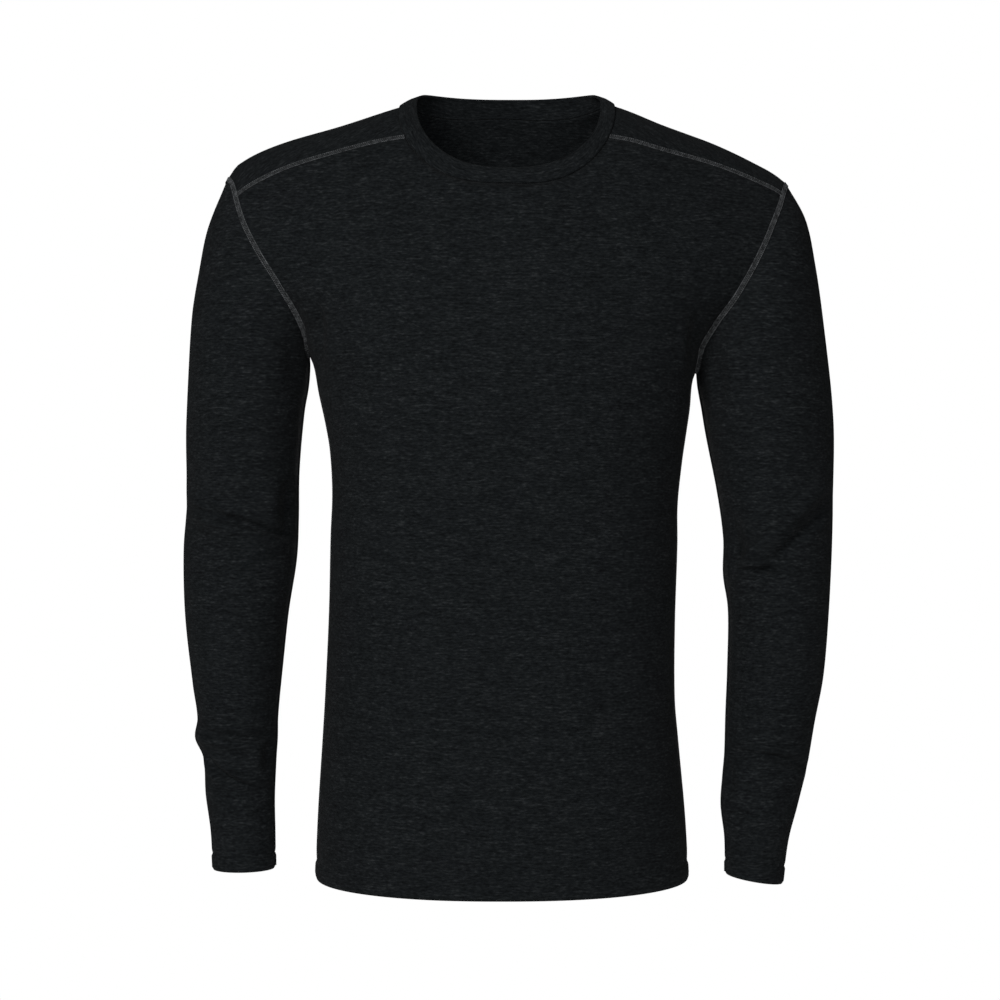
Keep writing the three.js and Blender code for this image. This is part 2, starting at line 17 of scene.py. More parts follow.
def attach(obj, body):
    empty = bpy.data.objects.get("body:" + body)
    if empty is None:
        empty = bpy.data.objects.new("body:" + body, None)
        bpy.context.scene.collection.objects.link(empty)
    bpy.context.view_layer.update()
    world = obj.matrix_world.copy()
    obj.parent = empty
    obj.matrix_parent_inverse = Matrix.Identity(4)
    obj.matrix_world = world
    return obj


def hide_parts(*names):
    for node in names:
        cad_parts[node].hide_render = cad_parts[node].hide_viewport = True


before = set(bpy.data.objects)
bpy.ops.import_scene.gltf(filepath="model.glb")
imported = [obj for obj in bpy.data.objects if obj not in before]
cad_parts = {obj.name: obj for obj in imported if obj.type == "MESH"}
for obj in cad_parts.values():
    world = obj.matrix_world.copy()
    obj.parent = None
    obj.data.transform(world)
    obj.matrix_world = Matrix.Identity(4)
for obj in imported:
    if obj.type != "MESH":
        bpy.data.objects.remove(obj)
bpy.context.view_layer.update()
MM = 0.001

# %% [markdown]
# ## Smooth curves through short tables
# A garment's form is given the way a pattern cutter writes it down, as a few sections with their sizes.
# Everything between two rows of a table is worked out by a smooth curve that keeps the slope at each row,
# so a short table gives a soft surface. A spline object could do this too, but a function can be asked
# for any place on the cloth, and every piece then shares the very same seams.

# %% Tables and the curve through them


def table(columns, rows):
    """Rows of numbers as a list of small dictionaries with named columns."""
    names = columns.split()
    return [dict(zip(names, row)) for row in rows]


def mix(a, b, t):
    return a + (b - a) * t


def clamp(value, low=0.0, high=1.0):
    return min(max(value, low), high)


def ease(t):
    """0 to 1 with a soft start and a soft end."""
    t = clamp(t)
    return t * t * (3 - 2 * t)


def power(value, exponent):
    return math.copysign(abs(value) ** exponent, value)


def through(rows, place, column, at):
    """The value of one column on the smooth curve through a table, at a place in another column."""
    last = len(rows) - 1
    i = 0
    while i < last - 1 and rows[i + 1][place] < at:
        i += 1

    def slope(k):
        before = rows[max(k - 1, 0)]
        after = rows[min(k + 1, last)]
        return (after[column] - before[column]) / (after[place] - before[place])

    a, b = rows[i], rows[i + 1]
    span = b[place] - a[place]
    t = clamp((at - a[place]) / span)
    leave = t * (1 - t) * (1 - t) * span * slope(i)
    arrive = t * t * (t - 1) * span * slope(i + 1)
    return mix(a[column], b[column], t * t * (3 - 2 * t)) + leave + arrive


def tables(columns, rows_by_name):
    """Several tables with the same columns."""
    return {name: table(columns, rows) for name, rows in rows_by_name.items()}


def running(points):
    """How far along a line of points each point lies."""
    along = [0.0]
    for before, after in zip(points, points[1:]):
        along.append(along[-1] + (after - before).length)
    return along


def spaced(along, steps):
    """For even places along such a line, the stretch that each lies in and how far along it."""
    i = 0
    for k in range(steps + 1):
        goal = along[-1] * k / steps
        while i < len(along) - 2 and along[i + 1] < goal:
            i += 1
        yield i, (goal - along[i]) / (along[i + 1] - along[i])


# %% [markdown]
# ## The body's form
# The body is a tube from the hem up to the armpits and an arch over the shoulders above them. A level counts
# the way up: -1 is the hem, 0 the armpits, 1 the ridge of the shoulders, and levels over 1 run down the back.
# A turn counts the way round, from -90 degrees at the wearer's right side seam to 90 at the left one.

# %% The body's sections and ridge
HEM_SIDE_Z = -700.5
HEM_DIP = 6.5
HEM_DEPTH = 14
ARMPIT_Z = -236.5
ARMPIT_TILT = 7.5
DIP_FADE = (8, 3)  # under the neckline a grid's columns straighten at once, its rows more slowly
CURVE_STEPS = 240
BODY_SECTIONS = table("level middle half_width front back square", [
    (-1.0, -0.5, 167, 108, 103, 2.3),
    (-0.88, -0.9, 164.3, 107, 103, 2.3),
    (-0.73, -1.8, 159, 104, 102, 2.3),
    (-0.65, -2.2, 156.4, 103, 100, 2.3),
    (-0.5, -0.5, 154.9, 103, 95, 2.3),
    (-0.35, 1.4, 155.2, 105, 93, 2.3),
    (-0.27, 2.2, 154.6, 108, 95, 2.35),
    (-0.19, 3.0, 157.5, 112, 98, 2.4),
    (-0.135, 2.6, 161.5, 114, 101, 2.45),
    (-0.08, 1.6, 166.2, 115, 103, 2.45),
    (-0.03, 0.5, 169.3, 116, 105, 2.45),
    (0.0, 0, 174, 116, 106, 2.45),
    (0.06, 0, 179, 116, 107, 2.4),
    (0.12, 0, 196, 115, 107, 2.35),
    (0.2, 0, 228, 115, 107, 2.25),
    (0.31, 0, 262, 113, 107, 2.1),
    (0.45, 0, 288, 110, 106, 2.0),
    (0.65, 0, 292, 102, 102, 2.0),
    (1.0, 0, 292, 98, 98, 2.0),
])
SHOULDER_RIDGE = table("x y z", [
    (-256, 0, -86),
    (-248, 0, -76),
    (-237, 0, -61),
    (-203, 1, -44),
    (-145, 3, -26.5),
    (-95, 6, -10),
    (0, 25, 20),
    (103, 6, -8.5),
    (145, 3, -26),
    (191, 2, -43.5),
    (228, 0, -61),
    (246, 0, -71),
    (264, 0, -87),
])


def body_point(side, turn, level):
    """A point on the body's outside, in millimetres. side is -1 on the front and 1 on the back."""
    mirrored = 2 - level if level > 1 else level
    section = {name: through(BODY_SECTIONS, "level", name, mirrored) for name in BODY_SECTIONS[0]}
    across = math.sin(math.radians(turn))
    x = section["middle"] + section["half_width"] * across
    armpit = ARMPIT_Z - ARMPIT_TILT * across
    hem = HEM_SIDE_Z - HEM_DIP * math.cos(math.radians(turn))
    facing = -side if level > 1 else side
    depth = section["front" if facing < 0 else "back"]
    square = section["square"]
    roundness = max(1 - abs(across) ** square, 0) ** (1 / square)
    if level <= 0:
        return Vector((x, facing * depth * roundness, armpit + level * (armpit - hem)))
    rise = math.sin(math.radians(90 * mirrored))
    lean = math.cos(math.radians(90 * mirrored))
    ridge_y = through(SHOULDER_RIDGE, "x", "y", x)
    ridge_z = through(SHOULDER_RIDGE, "x", "z", x)
    return Vector((x, ridge_y * rise * rise + facing * depth * roundness * lean, mix(armpit, ridge_z, rise)))


print("front of the chest:", [round(c) for c in body_point(-1, 0, 0)])

# %% [markdown]
# ## Where the seams lie
# A seam is a curve in the body's own surface, kept as marks of a turn and a level. Each seam is worked out
# once and both of its pieces take their edge from it, which is how a real seam behaves: two cut edges of one
# length. The shoulder seams lie forward of the ridge, as they do on tops that are worn under a pack.

# %% Armholes, shoulder seams and the neckline
ARMHOLE = table("level right left", [
    (0.0, 173.9, 173.9),
    (0.06, 176.5, 177),
    (0.12, 184, 188.5),
    (0.2, 197, 205),
    (0.31, 214, 221),
    (0.45, 228.5, 235),
    (0.65, 238.5, 247.5),
    (1.0, 248, 255.5),
    (1.35, 244, 250),
    (1.55, 234, 240),
    (1.7, 219, 225),
    (1.8, 203, 209),
    (1.88, 187, 191),
    (1.94, 177, 178),
    (2.0, 173.9, 173.9),
])
NECK_SEAM_LEVEL = 0.635
SHOULDER_SEAM = {"right": {"tip": 0.595, "bow": 0.04}, "left": {"tip": 0.705, "bow": 0.01}}
NECKLINE = {"x": 3.9, "half_width": 97, "level": 0.848, "front": 0.457, "back": 0.463, "round": 2.4}
SIDES = {"right": -1, "left": 1}


def turn_at(x, level):
    half_width = through(BODY_SECTIONS, "level", "half_width", 2 - level if level > 1 else level)
    return math.degrees(math.asin(clamp(x / half_width, -1, 1)))


def mark_point(mark):
    return body_point(-1, *mark)


def evenly(curve, steps):
    """The same curve again, with its marks spaced evenly along it."""
    marks = [curve(i / CURVE_STEPS) for i in range(CURVE_STEPS + 1)]
    along = running([mark_point(m) for m in marks])
    return [tuple(mix(a, b, t) for a, b in zip(marks[i], marks[i + 1])) for i, t in spaced(along, steps)]


def neckline_mark(angle):
    """angle runs from 0 at the front of the neck to 180 at its back, positive on the wearer's left."""
    up = math.cos(math.radians(angle))
    out = power(math.sin(math.radians(angle)), 2 / NECKLINE["round"])
    reach = NECKLINE["front"] if up > 0 else NECKLINE["back"]
    level = NECKLINE["level"] - reach * power(up, 2 / NECKLINE["round"])
    return turn_at(NECKLINE["x"] + NECKLINE["half_width"] * out, level), level


def neck_seam_angle():
    low, high = 0.0, 90.0
    for _ in range(40):
        middle = (low + high) / 2
        if neckline_mark(middle)[1] < NECK_SEAM_LEVEL:
            low = middle
        else:
            high = middle
    return low


NECK_SEAM_ANGLE = neck_seam_angle()


def armhole_curve(name, start, end):
    def curve(t):
        level = mix(start, end, t)
        return turn_at(SIDES[name] * through(ARMHOLE, "level", name, level), level), level

    return curve


def shoulder_curve(name):
    neck = neckline_mark(SIDES[name] * NECK_SEAM_ANGLE)
    tip, bow = SHOULDER_SEAM[name]["tip"], SHOULDER_SEAM[name]["bow"]
    tip_x = SIDES[name] * through(ARMHOLE, "level", name, tip)
    neck_x = mark_point(neck).x

    def curve(t):
        level = mix(tip, neck[1], t) + bow * 4 * t * (1 - t)
        return turn_at(mix(tip_x, neck_x, t), level), level

    return curve


print("shoulder seams meet the neckline at", round(NECK_SEAM_ANGLE, 1), "degrees")

# %% [markdown]
# ## Panels as grids
# A panel is a four-sided grid between its seams. Its rows run across from side seam to side seam and then
# from armhole to armhole, and they bend into the neckline only near the top, so that the knit's rows lie
# level on the chest as they do on a real front. FINE sets how many steps a panel has for each of
# the solid's.

# %% The front's and the back's grids
FINE = 5
SIDE_ROWS = 17 * FINE
FRONT_ARMHOLE_ROWS = 9 * FINE
BACK_ARMHOLE_ROWS = 15 * FINE
SHOULDER_COLUMNS = 7 * FINE
NECK_COLUMNS = 12 * FINE
HEM_LEVEL = HEM_DEPTH / (ARMPIT_Z - HEM_SIDE_Z)

armholes = {}
for name, seam in SHOULDER_SEAM.items():
    halves = {"front": (0, FRONT_ARMHOLE_ROWS), "back": (2, BACK_ARMHOLE_ROWS)}
    armholes[name] = {
        part: evenly(armhole_curve(name, start, seam["tip"]), steps)
        for part, (start, steps) in halves.items()
    }
shoulders = {name: evenly(shoulder_curve(name), SHOULDER_COLUMNS) for name in SIDES}
front_neck = evenly(lambda t: neckline_mark(mix(-NECK_SEAM_ANGLE, NECK_SEAM_ANGLE, t)), NECK_COLUMNS)
back_neck = evenly(lambda t: neckline_mark(mix(-NECK_SEAM_ANGLE, NECK_SEAM_ANGLE - 360, t)), NECK_COLUMNS)


def side_seam(name):
    """The side seam's marks: the turned hem's rows and then even ones up to the armpit."""
    hem_rows = FINE
    levels = [-1 + HEM_LEVEL * j / hem_rows for j in range(hem_rows)]
    rest = SIDE_ROWS - hem_rows
    levels += [mix(HEM_LEVEL - 1, 0, j / rest) for j in range(rest + 1)]
    return [(SIDES[name] * 90, level) for level in levels]


def panel_marks(right, left, top):
    """A grid of marks between two side edges and the top edge."""
    rows, columns = len(right) - 1, len(top) - 1
    grid = []
    for j, (start, end) in enumerate(zip(right, left)):
        row = []
        for i, edge in enumerate(top):
            s = i / columns
            dips = ((j / rows) ** DIP_FADE[c] * (edge[c] - mix(top[0][c], top[-1][c], s)) for c in range(2))
            row.append(tuple(mix(start[c], end[c], s) + dip for c, dip in enumerate(dips)))
        grid.append(row)
    return grid


def panel(side):
    """The marks of the front (side -1) or the back (side 1), as rows from the hem up."""
    is_front = side < 0

    def own(marks):
        return marks if is_front else [(turn, 2 - level) for turn, level in marks]

    neck = front_neck if is_front else back_neck
    top = own([*shoulders["right"][:-1], *neck, *shoulders["left"][:-1][::-1]])
    part = "front" if is_front else "back"
    right = [*side_seam("right")[:-1], *own(armholes["right"][part])]
    left = [*side_seam("left")[:-1], *own(armholes["left"][part])]
    return panel_marks(right, left, top)


def body_points(side, marks):
    return [[body_point(side, *mark) for mark in row] for row in marks]


front_marks, back_marks = panel(-1), panel(1)
front_rows = body_points(-1, front_marks)
back_rows = body_points(1, back_marks)
print("front", len(front_rows), "x", len(front_rows[0]), "points; back", len(back_rows), "rows")

# %% [markdown]
# ## Sleeves
# A sleeve starts on the armhole's own points and runs down through sections that are given by their outer
# and inner edge, as seen from the front. The arm hangs a little bent, so the sections drift forwards
# on the way down. The largest folds, at the elbow and over the wrist, belong to the solid form too.

# %% The sleeves' sections and folds
SLEEVE_SECTIONS = tables("out_x out_z in_x in_z y half", {
    "right": [
        (-264.6, -117.8, -174.0, -244.0, 4, 65),
        (-272.7, -155.6, -175.4, -262.0, 4, 65),
        (-279.5, -198.9, -179.0, -283.7, 4, 62),
        (-284.7, -290.8, -183.6, -335.9, 6, 57),
        (-284.9, -361.2, -184.7, -379.3, 8, 54),
        (-287.6, -408.1, -186.4, -415.4, 7, 51),
        (-285.2, -466.5, -193.1, -464.7, 0, 48),
        (-277.0, -527.7, -198.7, -525.9, -12, 42),
        (-272.0, -557.0, -200.8, -556.0, -18, 38),
        (-273.6, -574.0, -200.9, -574.0, -22, 36.5),
        (-265.8, -592.0, -202.0, -592.6, -25, 34),
        (-263.0, -623.8, -202.7, -625.5, -32, 31),
        (-257.9, -655.0, -201.5, -655.0, -38, 29),
        (-255.4, -688.0, -200.6, -687.2, -44, 28),
    ],
    "left": [
        (272.0, -111.2, 175.8, -260.5, 0, 65),
        (280.9, -151.8, 179.3, -280.3, -1, 66),
        (287.2, -196.7, 182.9, -301.9, -2, 63),
        (297.3, -291.0, 193.0, -352.2, -1, 58),
        (297.0, -363.0, 199.3, -397.2, 0, 54),
        (295.7, -414.0, 199.0, -430.0, -1, 51),
        (292.6, -463.5, 202.8, -461.7, -6, 48),
        (286.3, -519.4, 201.5, -514.9, -16, 43),
        (277.5, -560.0, 199.0, -556.0, -24, 40),
        (271.5, -590.0, 197.5, -587.0, -31, 37),
        (267.0, -609.2, 195.3, -607.4, -35, 35),
        (260.2, -633.4, 193.3, -631.6, -40, 33),
        (252.0, -662.0, 196.2, -660.0, -45, 29),
        (246.3, -699.5, 196.3, -691.5, -50, 27),
    ],
})
FOLDS = tables("down round reach slant width depth", {
    "right": [
        (0.475, 70, 75, 0.055, 12, 3.6),
        (0.432, 40, 40, 0.02, 9, 1.6),
        (0.5, 285, 60, -0.03, 13, 2.6),
        (0.812, 75, 75, 0.0, 9, 2.8),
        (0.875, 110, 70, 0.03, 10, 2.0),
        (0.84, 270, 70, 0.02, 10, 2.2),
    ],
    "left": [
        (0.475, 95, 85, 0.11, 13, 3.8),
        (0.535, 125, 45, 0.02, 8, 2.0),
        (0.5, 280, 60, -0.04, 13, 2.6),
        (0.815, 80, 75, 0.0, 9, 2.6),
        (0.85, 60, 60, -0.015, 9, 2.0),
        (0.845, 275, 70, 0.02, 10, 2.2),
    ],
})
SWELL = 0.6  # the cloth beside a fold swells out by this share of the fold's depth
SWELL_PLACE = 1.7  # this many fold widths away from it
FOLD_START = 30.0  # folds begin this far down from the armhole seam
SLEEVE_ROWS = 270
CUFF_ROWS = 6


def fold_depth(folds, down, round_, length):
    """How far the main folds draw a sleeve's cloth in, at a place down and round it."""
    depth = 0.0
    for fold in folds:
        away = (round_ - fold["round"] + 540) % 360 - 180
        if abs(away) >= fold["reach"]:
            continue
        strength = math.cos(math.radians(90 * away / fold["reach"])) ** 2
        offset = (down - fold["down"] - fold["slant"] * away / 90) * length / fold["width"]
        trough = math.exp(-(offset**2))
        swell = SWELL * math.exp(-((offset + SWELL_PLACE) ** 2))
        depth += fold["depth"] * strength * (trough - swell)
    return depth


def middle_of(points):
    return sum(points, Vector()) / len(points)


def armhole_loop(name):
    """The armhole's points from the armpit up the front, over the shoulder and down the back."""
    up_front = [mark_point(m) for m in armholes[name]["front"]]
    down_back = [mark_point(m) for m in armholes[name]["back"]][::-1]
    return up_front[:-1] + down_back[:-1]


def sleeve(name):
    """Rings of outside points from the armhole to the cuff."""
    sections, folds = SLEEVE_SECTIONS[name], FOLDS[name]
    loop = armhole_loop(name)
    along = running([*loop, loop[0]])
    angles = [180 - 360 * at / along[-1] for at in along[:-1]]
    middles = [Vector(((s["out_x"] + s["in_x"]) / 2, s["y"], (s["out_z"] + s["in_z"]) / 2)) for s in sections]
    places = running([middle_of(loop), *middles])
    length = places[-1]
    lines = []
    for start, angle in zip(loop, angles):
        c, s = math.cos(math.radians(angle)), math.sin(math.radians(angle))
        line = [start]
        for row, middle in zip(sections, middles):
            outward = Vector((c * (row["out_x"] - row["in_x"]) / 2, 0, c * (row["out_z"] - row["in_z"]) / 2))
            line.append(Vector((middle.x, row["y"] - s * row["half"], middle.z)) + outward)
        lines.append([{"place": at, "x": p.x, "y": p.y, "z": p.z} for at, p in zip(places, line)])
    arm = SLEEVE_ROWS - CUFF_ROWS
    stations = [(length - HEM_DEPTH) * j / arm for j in range(arm + 1)]
    stations += [length - HEM_DEPTH * (1 - j / CUFF_ROWS) for j in range(1, CUFF_ROWS + 1)]
    rings = []
    for station in stations:
        ring = [Vector([through(line, "place", axis, station) for axis in "xyz"]) for line in lines]
        middle = middle_of(ring)
        draw = ease(station / FOLD_START)
        drawn = [draw * fold_depth(folds, station / length, angle, length) for angle in angles]
        rings.append([p + (middle - p).normalized() * depth for p, depth in zip(ring, drawn)])
    return rings


sleeve_rows = {name: sleeve(name) for name in SIDES}
print("sleeves", SLEEVE_ROWS, "rows of", len(sleeve_rows["left"][0]), "points")

# %% [markdown]
# ## The neck band
# The band is a doubled strip of the same knit, sewn to the neckline and folded at its free edge. It rounds
# out a little between the two, like a soft roll, because it holds two layers and the seam's turnings.

# %% The neck band's rings
BAND_EDGE = {"x": 5.6, "half_width": 82.5, "front": -76, "back": 62, "front_z": -75, "back_z": 6.7}
BAND_EDGE |= {"curve": 1.97, "rise": 4.9, "round": 2.5}
BAND_ROWS = 14
BAND_CROWN = 1.2
BAND_STEP = 1.5  # the doubled band stands this much proud of the single cloth


def band_edge_point(angle):
    e = BAND_EDGE
    forward = (1 + power(math.cos(angle), 2 / e["round"])) / 2
    out = power(math.sin(angle), 2 / e["round"])
    x = e["x"] + e["half_width"] * out
    z = mix(e["back_z"], e["front_z"], forward ** e["curve"]) + e["rise"] * math.sin(math.pi * forward)
    return Vector((x, mix(e["back"], e["front"], forward), z))


def neck_band():
    """Rings from the band's seam to its folded edge."""
    ring = [mark_point(m) for m in [*front_neck[:-1], *back_neck[::-1][:-1]]]
    count = len(ring)
    edge = []
    for k in range(count):
        behind = k >= NECK_COLUMNS
        start = NECK_SEAM_ANGLE if behind else -NECK_SEAM_ANGLE
        end = 360 - NECK_SEAM_ANGLE if behind else NECK_SEAM_ANGLE
        edge.append(band_edge_point(math.radians(mix(start, end, (k % NECK_COLUMNS) / NECK_COLUMNS))))
    rows = []
    for j in range(BAND_ROWS + 1):
        t = j / BAND_ROWS
        crown = BAND_CROWN * 4 * t * (1 - t)
        row = []
        for k in range(count):
            around = edge[(k + 1) % count] - edge[k - 1]
            outward = around.cross(edge[k] - ring[k]).normalized()
            row.append(ring[k].lerp(edge[k], t) + outward * crown)
        rows.append(row)
    return rows


band_rows = neck_band()
print("neck band", len(band_rows), "x", len(band_rows[0]))

# %% [markdown]
# ## Creases
# Worn knit isn't smooth. The creases here are listed with the place where each starts and ends, as
# seen from the front, how far it bows, and how wide and deep it is. Each is a soft trough with a swell
# beside it. A cloth simulation could make such creases, but it would place them where it likes, and
# these have to lie where this garment has them. Ones on the hidden sides are of the same kind.

# %% The creases' table and their depth at a place
CREASES = tables("facing x1 z1 x2 z2 bow width depth", {
    "sleeve_right": [
        (-1, -288, -369, -180, -399, 2, 3.8, 7.5),
        (-1, -270, -363, -243, -378, 1, 2.6, 3.5),
        (-1, -187, -340, -193, -398, 0, 7.0, 6.0),
        (-1, -268, -299, -201, -311, -2, 9.0, 1.6),
        (-1, -278, -427, -230, -441, -3, 8.0, 1.6),
        (-1, -270, -566, -203, -573, -1, 3.8, 6.5),
        (-1, -270, -580, -206, -618, -8, 3.2, 7.0),
        (-1, -187, -218, -184, -270, 0, 8.0, 2.6),
        (-1, -205, -574, -207, -604, 0, 5.5, 4.0),
        (-1, -262, -634, -226, -640, 1, 6.0, 1.2),
        (1, -284, -396, -200, -410, 4, 6.0, 3.0),
        (1, -276, -425, -215, -436, -3, 7.0, 2.0),
        (1, -268, -578, -206, -584, 3, 5.0, 3.2),
        (1, -262, -606, -210, -612, -3, 6.0, 2.4),
        (1, -262, -215, -205, -246, 4, 10.0, 2.2),
    ],
    "sleeve_left": [
        (-1, 197, -434, 296, -344, 3, 6.0, -5.5),
        (-1, 226, -431, 294, -368, 2, 4.0, 4.2),
        (-1, 203, -427, 256, -424, 1, 2.6, 5.2),
        (-1, 201, -372, 209, -432, 0, 8.0, 6.5),
        (-1, 288, -330, 232, -352, -3, 9.0, 1.4),
        (-1, 194, -586, 272, -600, 6, 3.8, 6.5),
        (-1, 189, -232, 191, -290, 0, 7.0, 4.0),
        (-1, 210, -579, 262, -582, 3, 2.6, 3.2),
        (-1, 198, -590, 200, -622, 0, 5.0, 2.8),
        (-1, 196, -637, 228, -642, 1, 5.0, 2.2),
        (-1, 198, -684, 230, -686, 1, 4.0, 1.4),
        (-1, 217, -205, 204, -231, -2, 3.8, 3.0),
        (1, 292, -392, 206, -408, 4, 6.0, 3.0),
        (1, 284, -428, 222, -436, -3, 7.0, 2.0),
        (1, 270, -592, 204, -600, 3, 5.0, 3.2),
        (1, 262, -620, 206, -626, -3, 6.0, 2.4),
        (1, 268, -222, 212, -256, 4, 10.0, 2.2),
    ],
    "front": [
        (-1, -161, -190, -163, -252, 1, 6.0, 5.0),
        (-1, 171, -196, 169, -264, -1, 6.0, 5.0),
        (-1, -148, -262, -92, -296, 5, 14.0, 1.4),
        (-1, 152, -270, 98, -300, -5, 14.0, 1.4),
        (-1, -140, -448, -84, -466, -4, 13.0, 1.2),
        (-1, 142, -456, 96, -470, 4, 13.0, 1.2),
        (-1, -92, -610, -70, -690, 4, 16.0, 1.2),
        (-1, 58, -616, 66, -694, -4, 16.0, 1.2),
    ],
    "back": [
        (1, -160, -176, -160, -246, 3, 9.0, 2.8),
        (1, 164, -182, 162, -252, -3, 9.0, 2.8),
        (1, -140, -428, -56, -452, 6, 12.0, 2.2),
        (1, 138, -438, 60, -458, -6, 12.0, 2.2),
        (1, -118, -466, -40, -480, -4, 12.0, 1.6),
        (1, 116, -474, 44, -486, 4, 12.0, 1.6),
        (1, -70, -600, -52, -692, 4, 16.0, 1.4),
        (1, 64, -606, 50, -694, -4, 16.0, 1.4),
    ],
    "neck_band": [],
})
CREASE_SWELL = 0.45  # the swell beside a crease, as a share of its depth
CREASE_SWELL_PLACE = 1.8  # this many widths away from its middle
CREASE_REACH = 4  # nothing is left of a crease this many widths away
CREASE_SHARPNESS = 1.4  # 2 gives a round trough and 1 a fold with a sharp bottom
CREASE_FADE = 0.8  # how soon a crease fades towards its ends
CREASE_TURN = 1.6  # how soon it fades where the cloth turns away to the side
RIPPLE = {"body": 0.7, "sleeve": 0.45}  # height of the soft unevenness of worn cloth
RIPPLE_SIZE = 70.0


def crease_depth(creases, point, normal):
    """How far the creases push a point in, in millimetres."""
    depth = 0.0
    for c in creases:
        facing = ease(normal.y * c["facing"] * CREASE_TURN)
        if facing == 0:
            continue
        run = Vector((c["x2"] - c["x1"], c["z2"] - c["z1"]))
        here = Vector((point.x - c["x1"], point.z - c["z1"]))
        t = here.dot(run) / run.length_squared
        if not 0 < t < 1:
            continue
        across = (run.x * here.y - run.y * here.x) / run.length - c["bow"] * 4 * t * (1 - t)
        offset = across / c["width"]
        if abs(offset) > CREASE_REACH:
            continue
        strength = math.sin(math.pi * t) ** CREASE_FADE * facing
        trough = math.exp(-(abs(offset) ** CREASE_SHARPNESS))
        swell = sum(math.exp(-((offset - place) ** 2)) for place in (CREASE_SWELL_PLACE, -CREASE_SWELL_PLACE))
        depth += c["depth"] * strength * (trough - CREASE_SWELL * swell)
    return depth


def grid_normals(rows, around, flip):
    """The outward normal at each point of a grid, from its neighbours."""
    last = len(rows) - 1
    normals = []
    for j, row in enumerate(rows):
        below, above = rows[max(j - 1, 0)], rows[min(j + 1, last)]
        end = len(row) - 1
        line = []
        for i in range(len(row)):
            before = row[i - 1] if around or i > 0 else row[0]
            after = row[(i + 1) % len(row)] if around or i < end else row[end]
            normal = (after - before).cross(above[i] - below[i]).normalized()
            line.append(-normal if flip else normal)
        normals.append(line)
    return normals


print("creases:", {name: len(rows) for name, rows in CREASES.items()})

# %% [markdown]
# ## Cloth shells
# Each piece starts as bmesh's grid, which is then moved onto the points of its form. Its UV map, named
# cloth, is the flat pattern in metres: across is the distance along a row of the knit from the middle of
# the piece, and up is the distance along a column. The knit's pattern can then follow the grain of each
# piece, as it does when the piece is cut from cloth. Solidify gives the thickness, and a vertex group
# makes it double where the hem is turned.

# %% Shape a piece's grid
WELD = 1e-7  # points nearer than this, in metres, are one
KNIT_THICKNESS = 1.3
HEM_THICKNESS = 2.6
HEM_PUFF = 0.5  # the turned hem stands out by this, and its fold and stitches draw it in
HEM_GROOVE = 0.7
EDGE_ROLL = 0.7
CALM_ROWS = 4  # creases and ripples come in over this many rows from a seam


def hem_shape(rows_from_edge, hem_rows):
    """The turned hem puffs out a little, rolls in at its fold and is drawn in at its stitches."""
    if rows_from_edge > hem_rows + 1:
        return 0.0
    if rows_from_edge == 0:
        return -EDGE_ROLL
    if rows_from_edge >= hem_rows:
        return -HEM_GROOVE if rows_from_edge == hem_rows else -HEM_GROOVE / 3
    return HEM_PUFF


def relief(name, j):
    """How far the sewn work itself lifts a row of a piece: its turned hem, or the band's second layer."""
    if name == "neck_band":
        return BAND_STEP if j else 0.0
    if name.startswith("sleeve"):
        return hem_shape(SLEEVE_ROWS - j, CUFF_ROWS)
    return hem_shape(j, FINE)


def edge_calm(name, j, i, rows):
    """0 on a sewn edge, where two pieces must still meet, and 1 a few rows away from it."""
    from_top = len(rows) - 1 - j
    if name.startswith("sleeve"):
        return ease(j / CALM_ROWS)
    side = min(i, len(rows[0]) - 1 - i)
    return ease(from_top / CALM_ROWS) * ease(side / CALM_ROWS)


def shaped(name, rows, around, flip):
    """A grid with its creases, ripples and sewn relief, and its normals."""
    normals = grid_normals(rows, around, flip)
    ripple = RIPPLE["sleeve" if name.startswith("sleeve") else "body"]
    worn = []
    for j, (row, line) in enumerate(zip(rows, normals)):
        out = []
        for i, (point, normal) in enumerate(zip(row, line)):
            lift = relief(name, j)
            calm = edge_calm(name, j, i, rows)
            if name != "neck_band":
                wave = noise.noise(point / RIPPLE_SIZE) * ripple
                lift += (wave - crease_depth(CREASES[name], point, normal)) * calm
            out.append(point + normal * lift)
        worn.append(out)
    return worn, grid_normals(worn, around, flip)


PIECES = {
    "front": {"rows": front_rows, "around": False, "flip": False},
    "back": {"rows": back_rows, "around": False, "flip": True},
    "sleeve_right": {"rows": sleeve_rows["right"], "around": True, "flip": False},
    "sleeve_left": {"rows": sleeve_rows["left"], "around": True, "flip": True},
    "neck_band": {"rows": band_rows, "around": True, "flip": False},
}
for name, piece in PIECES.items():
    piece["worn"], piece["normals"] = shaped(name, **piece)
print("shaped", list(PIECES))

# %% The flat pattern of each piece
PATTERN_STEPS = 40
LEAN_LEVEL = 0.4  # above this the back leans over the shoulders, and its rows are measured on the cloth
PATTERN_REACH = 260
PATTERN_PITCH = 20


def upright_lengths(side, x):
    """How far up the cloth each level over LEAN_LEVEL lies, over a fixed place across the body."""
    levels = [mix(LEAN_LEVEL, 2, k / PATTERN_STEPS) for k in range(PATTERN_STEPS + 1)]
    points = [body_point(side, turn_at(x, level), level).yz for level in levels]
    return table("level length", [(level, points[0][1] + at) for level, at in zip(levels, running(points))])


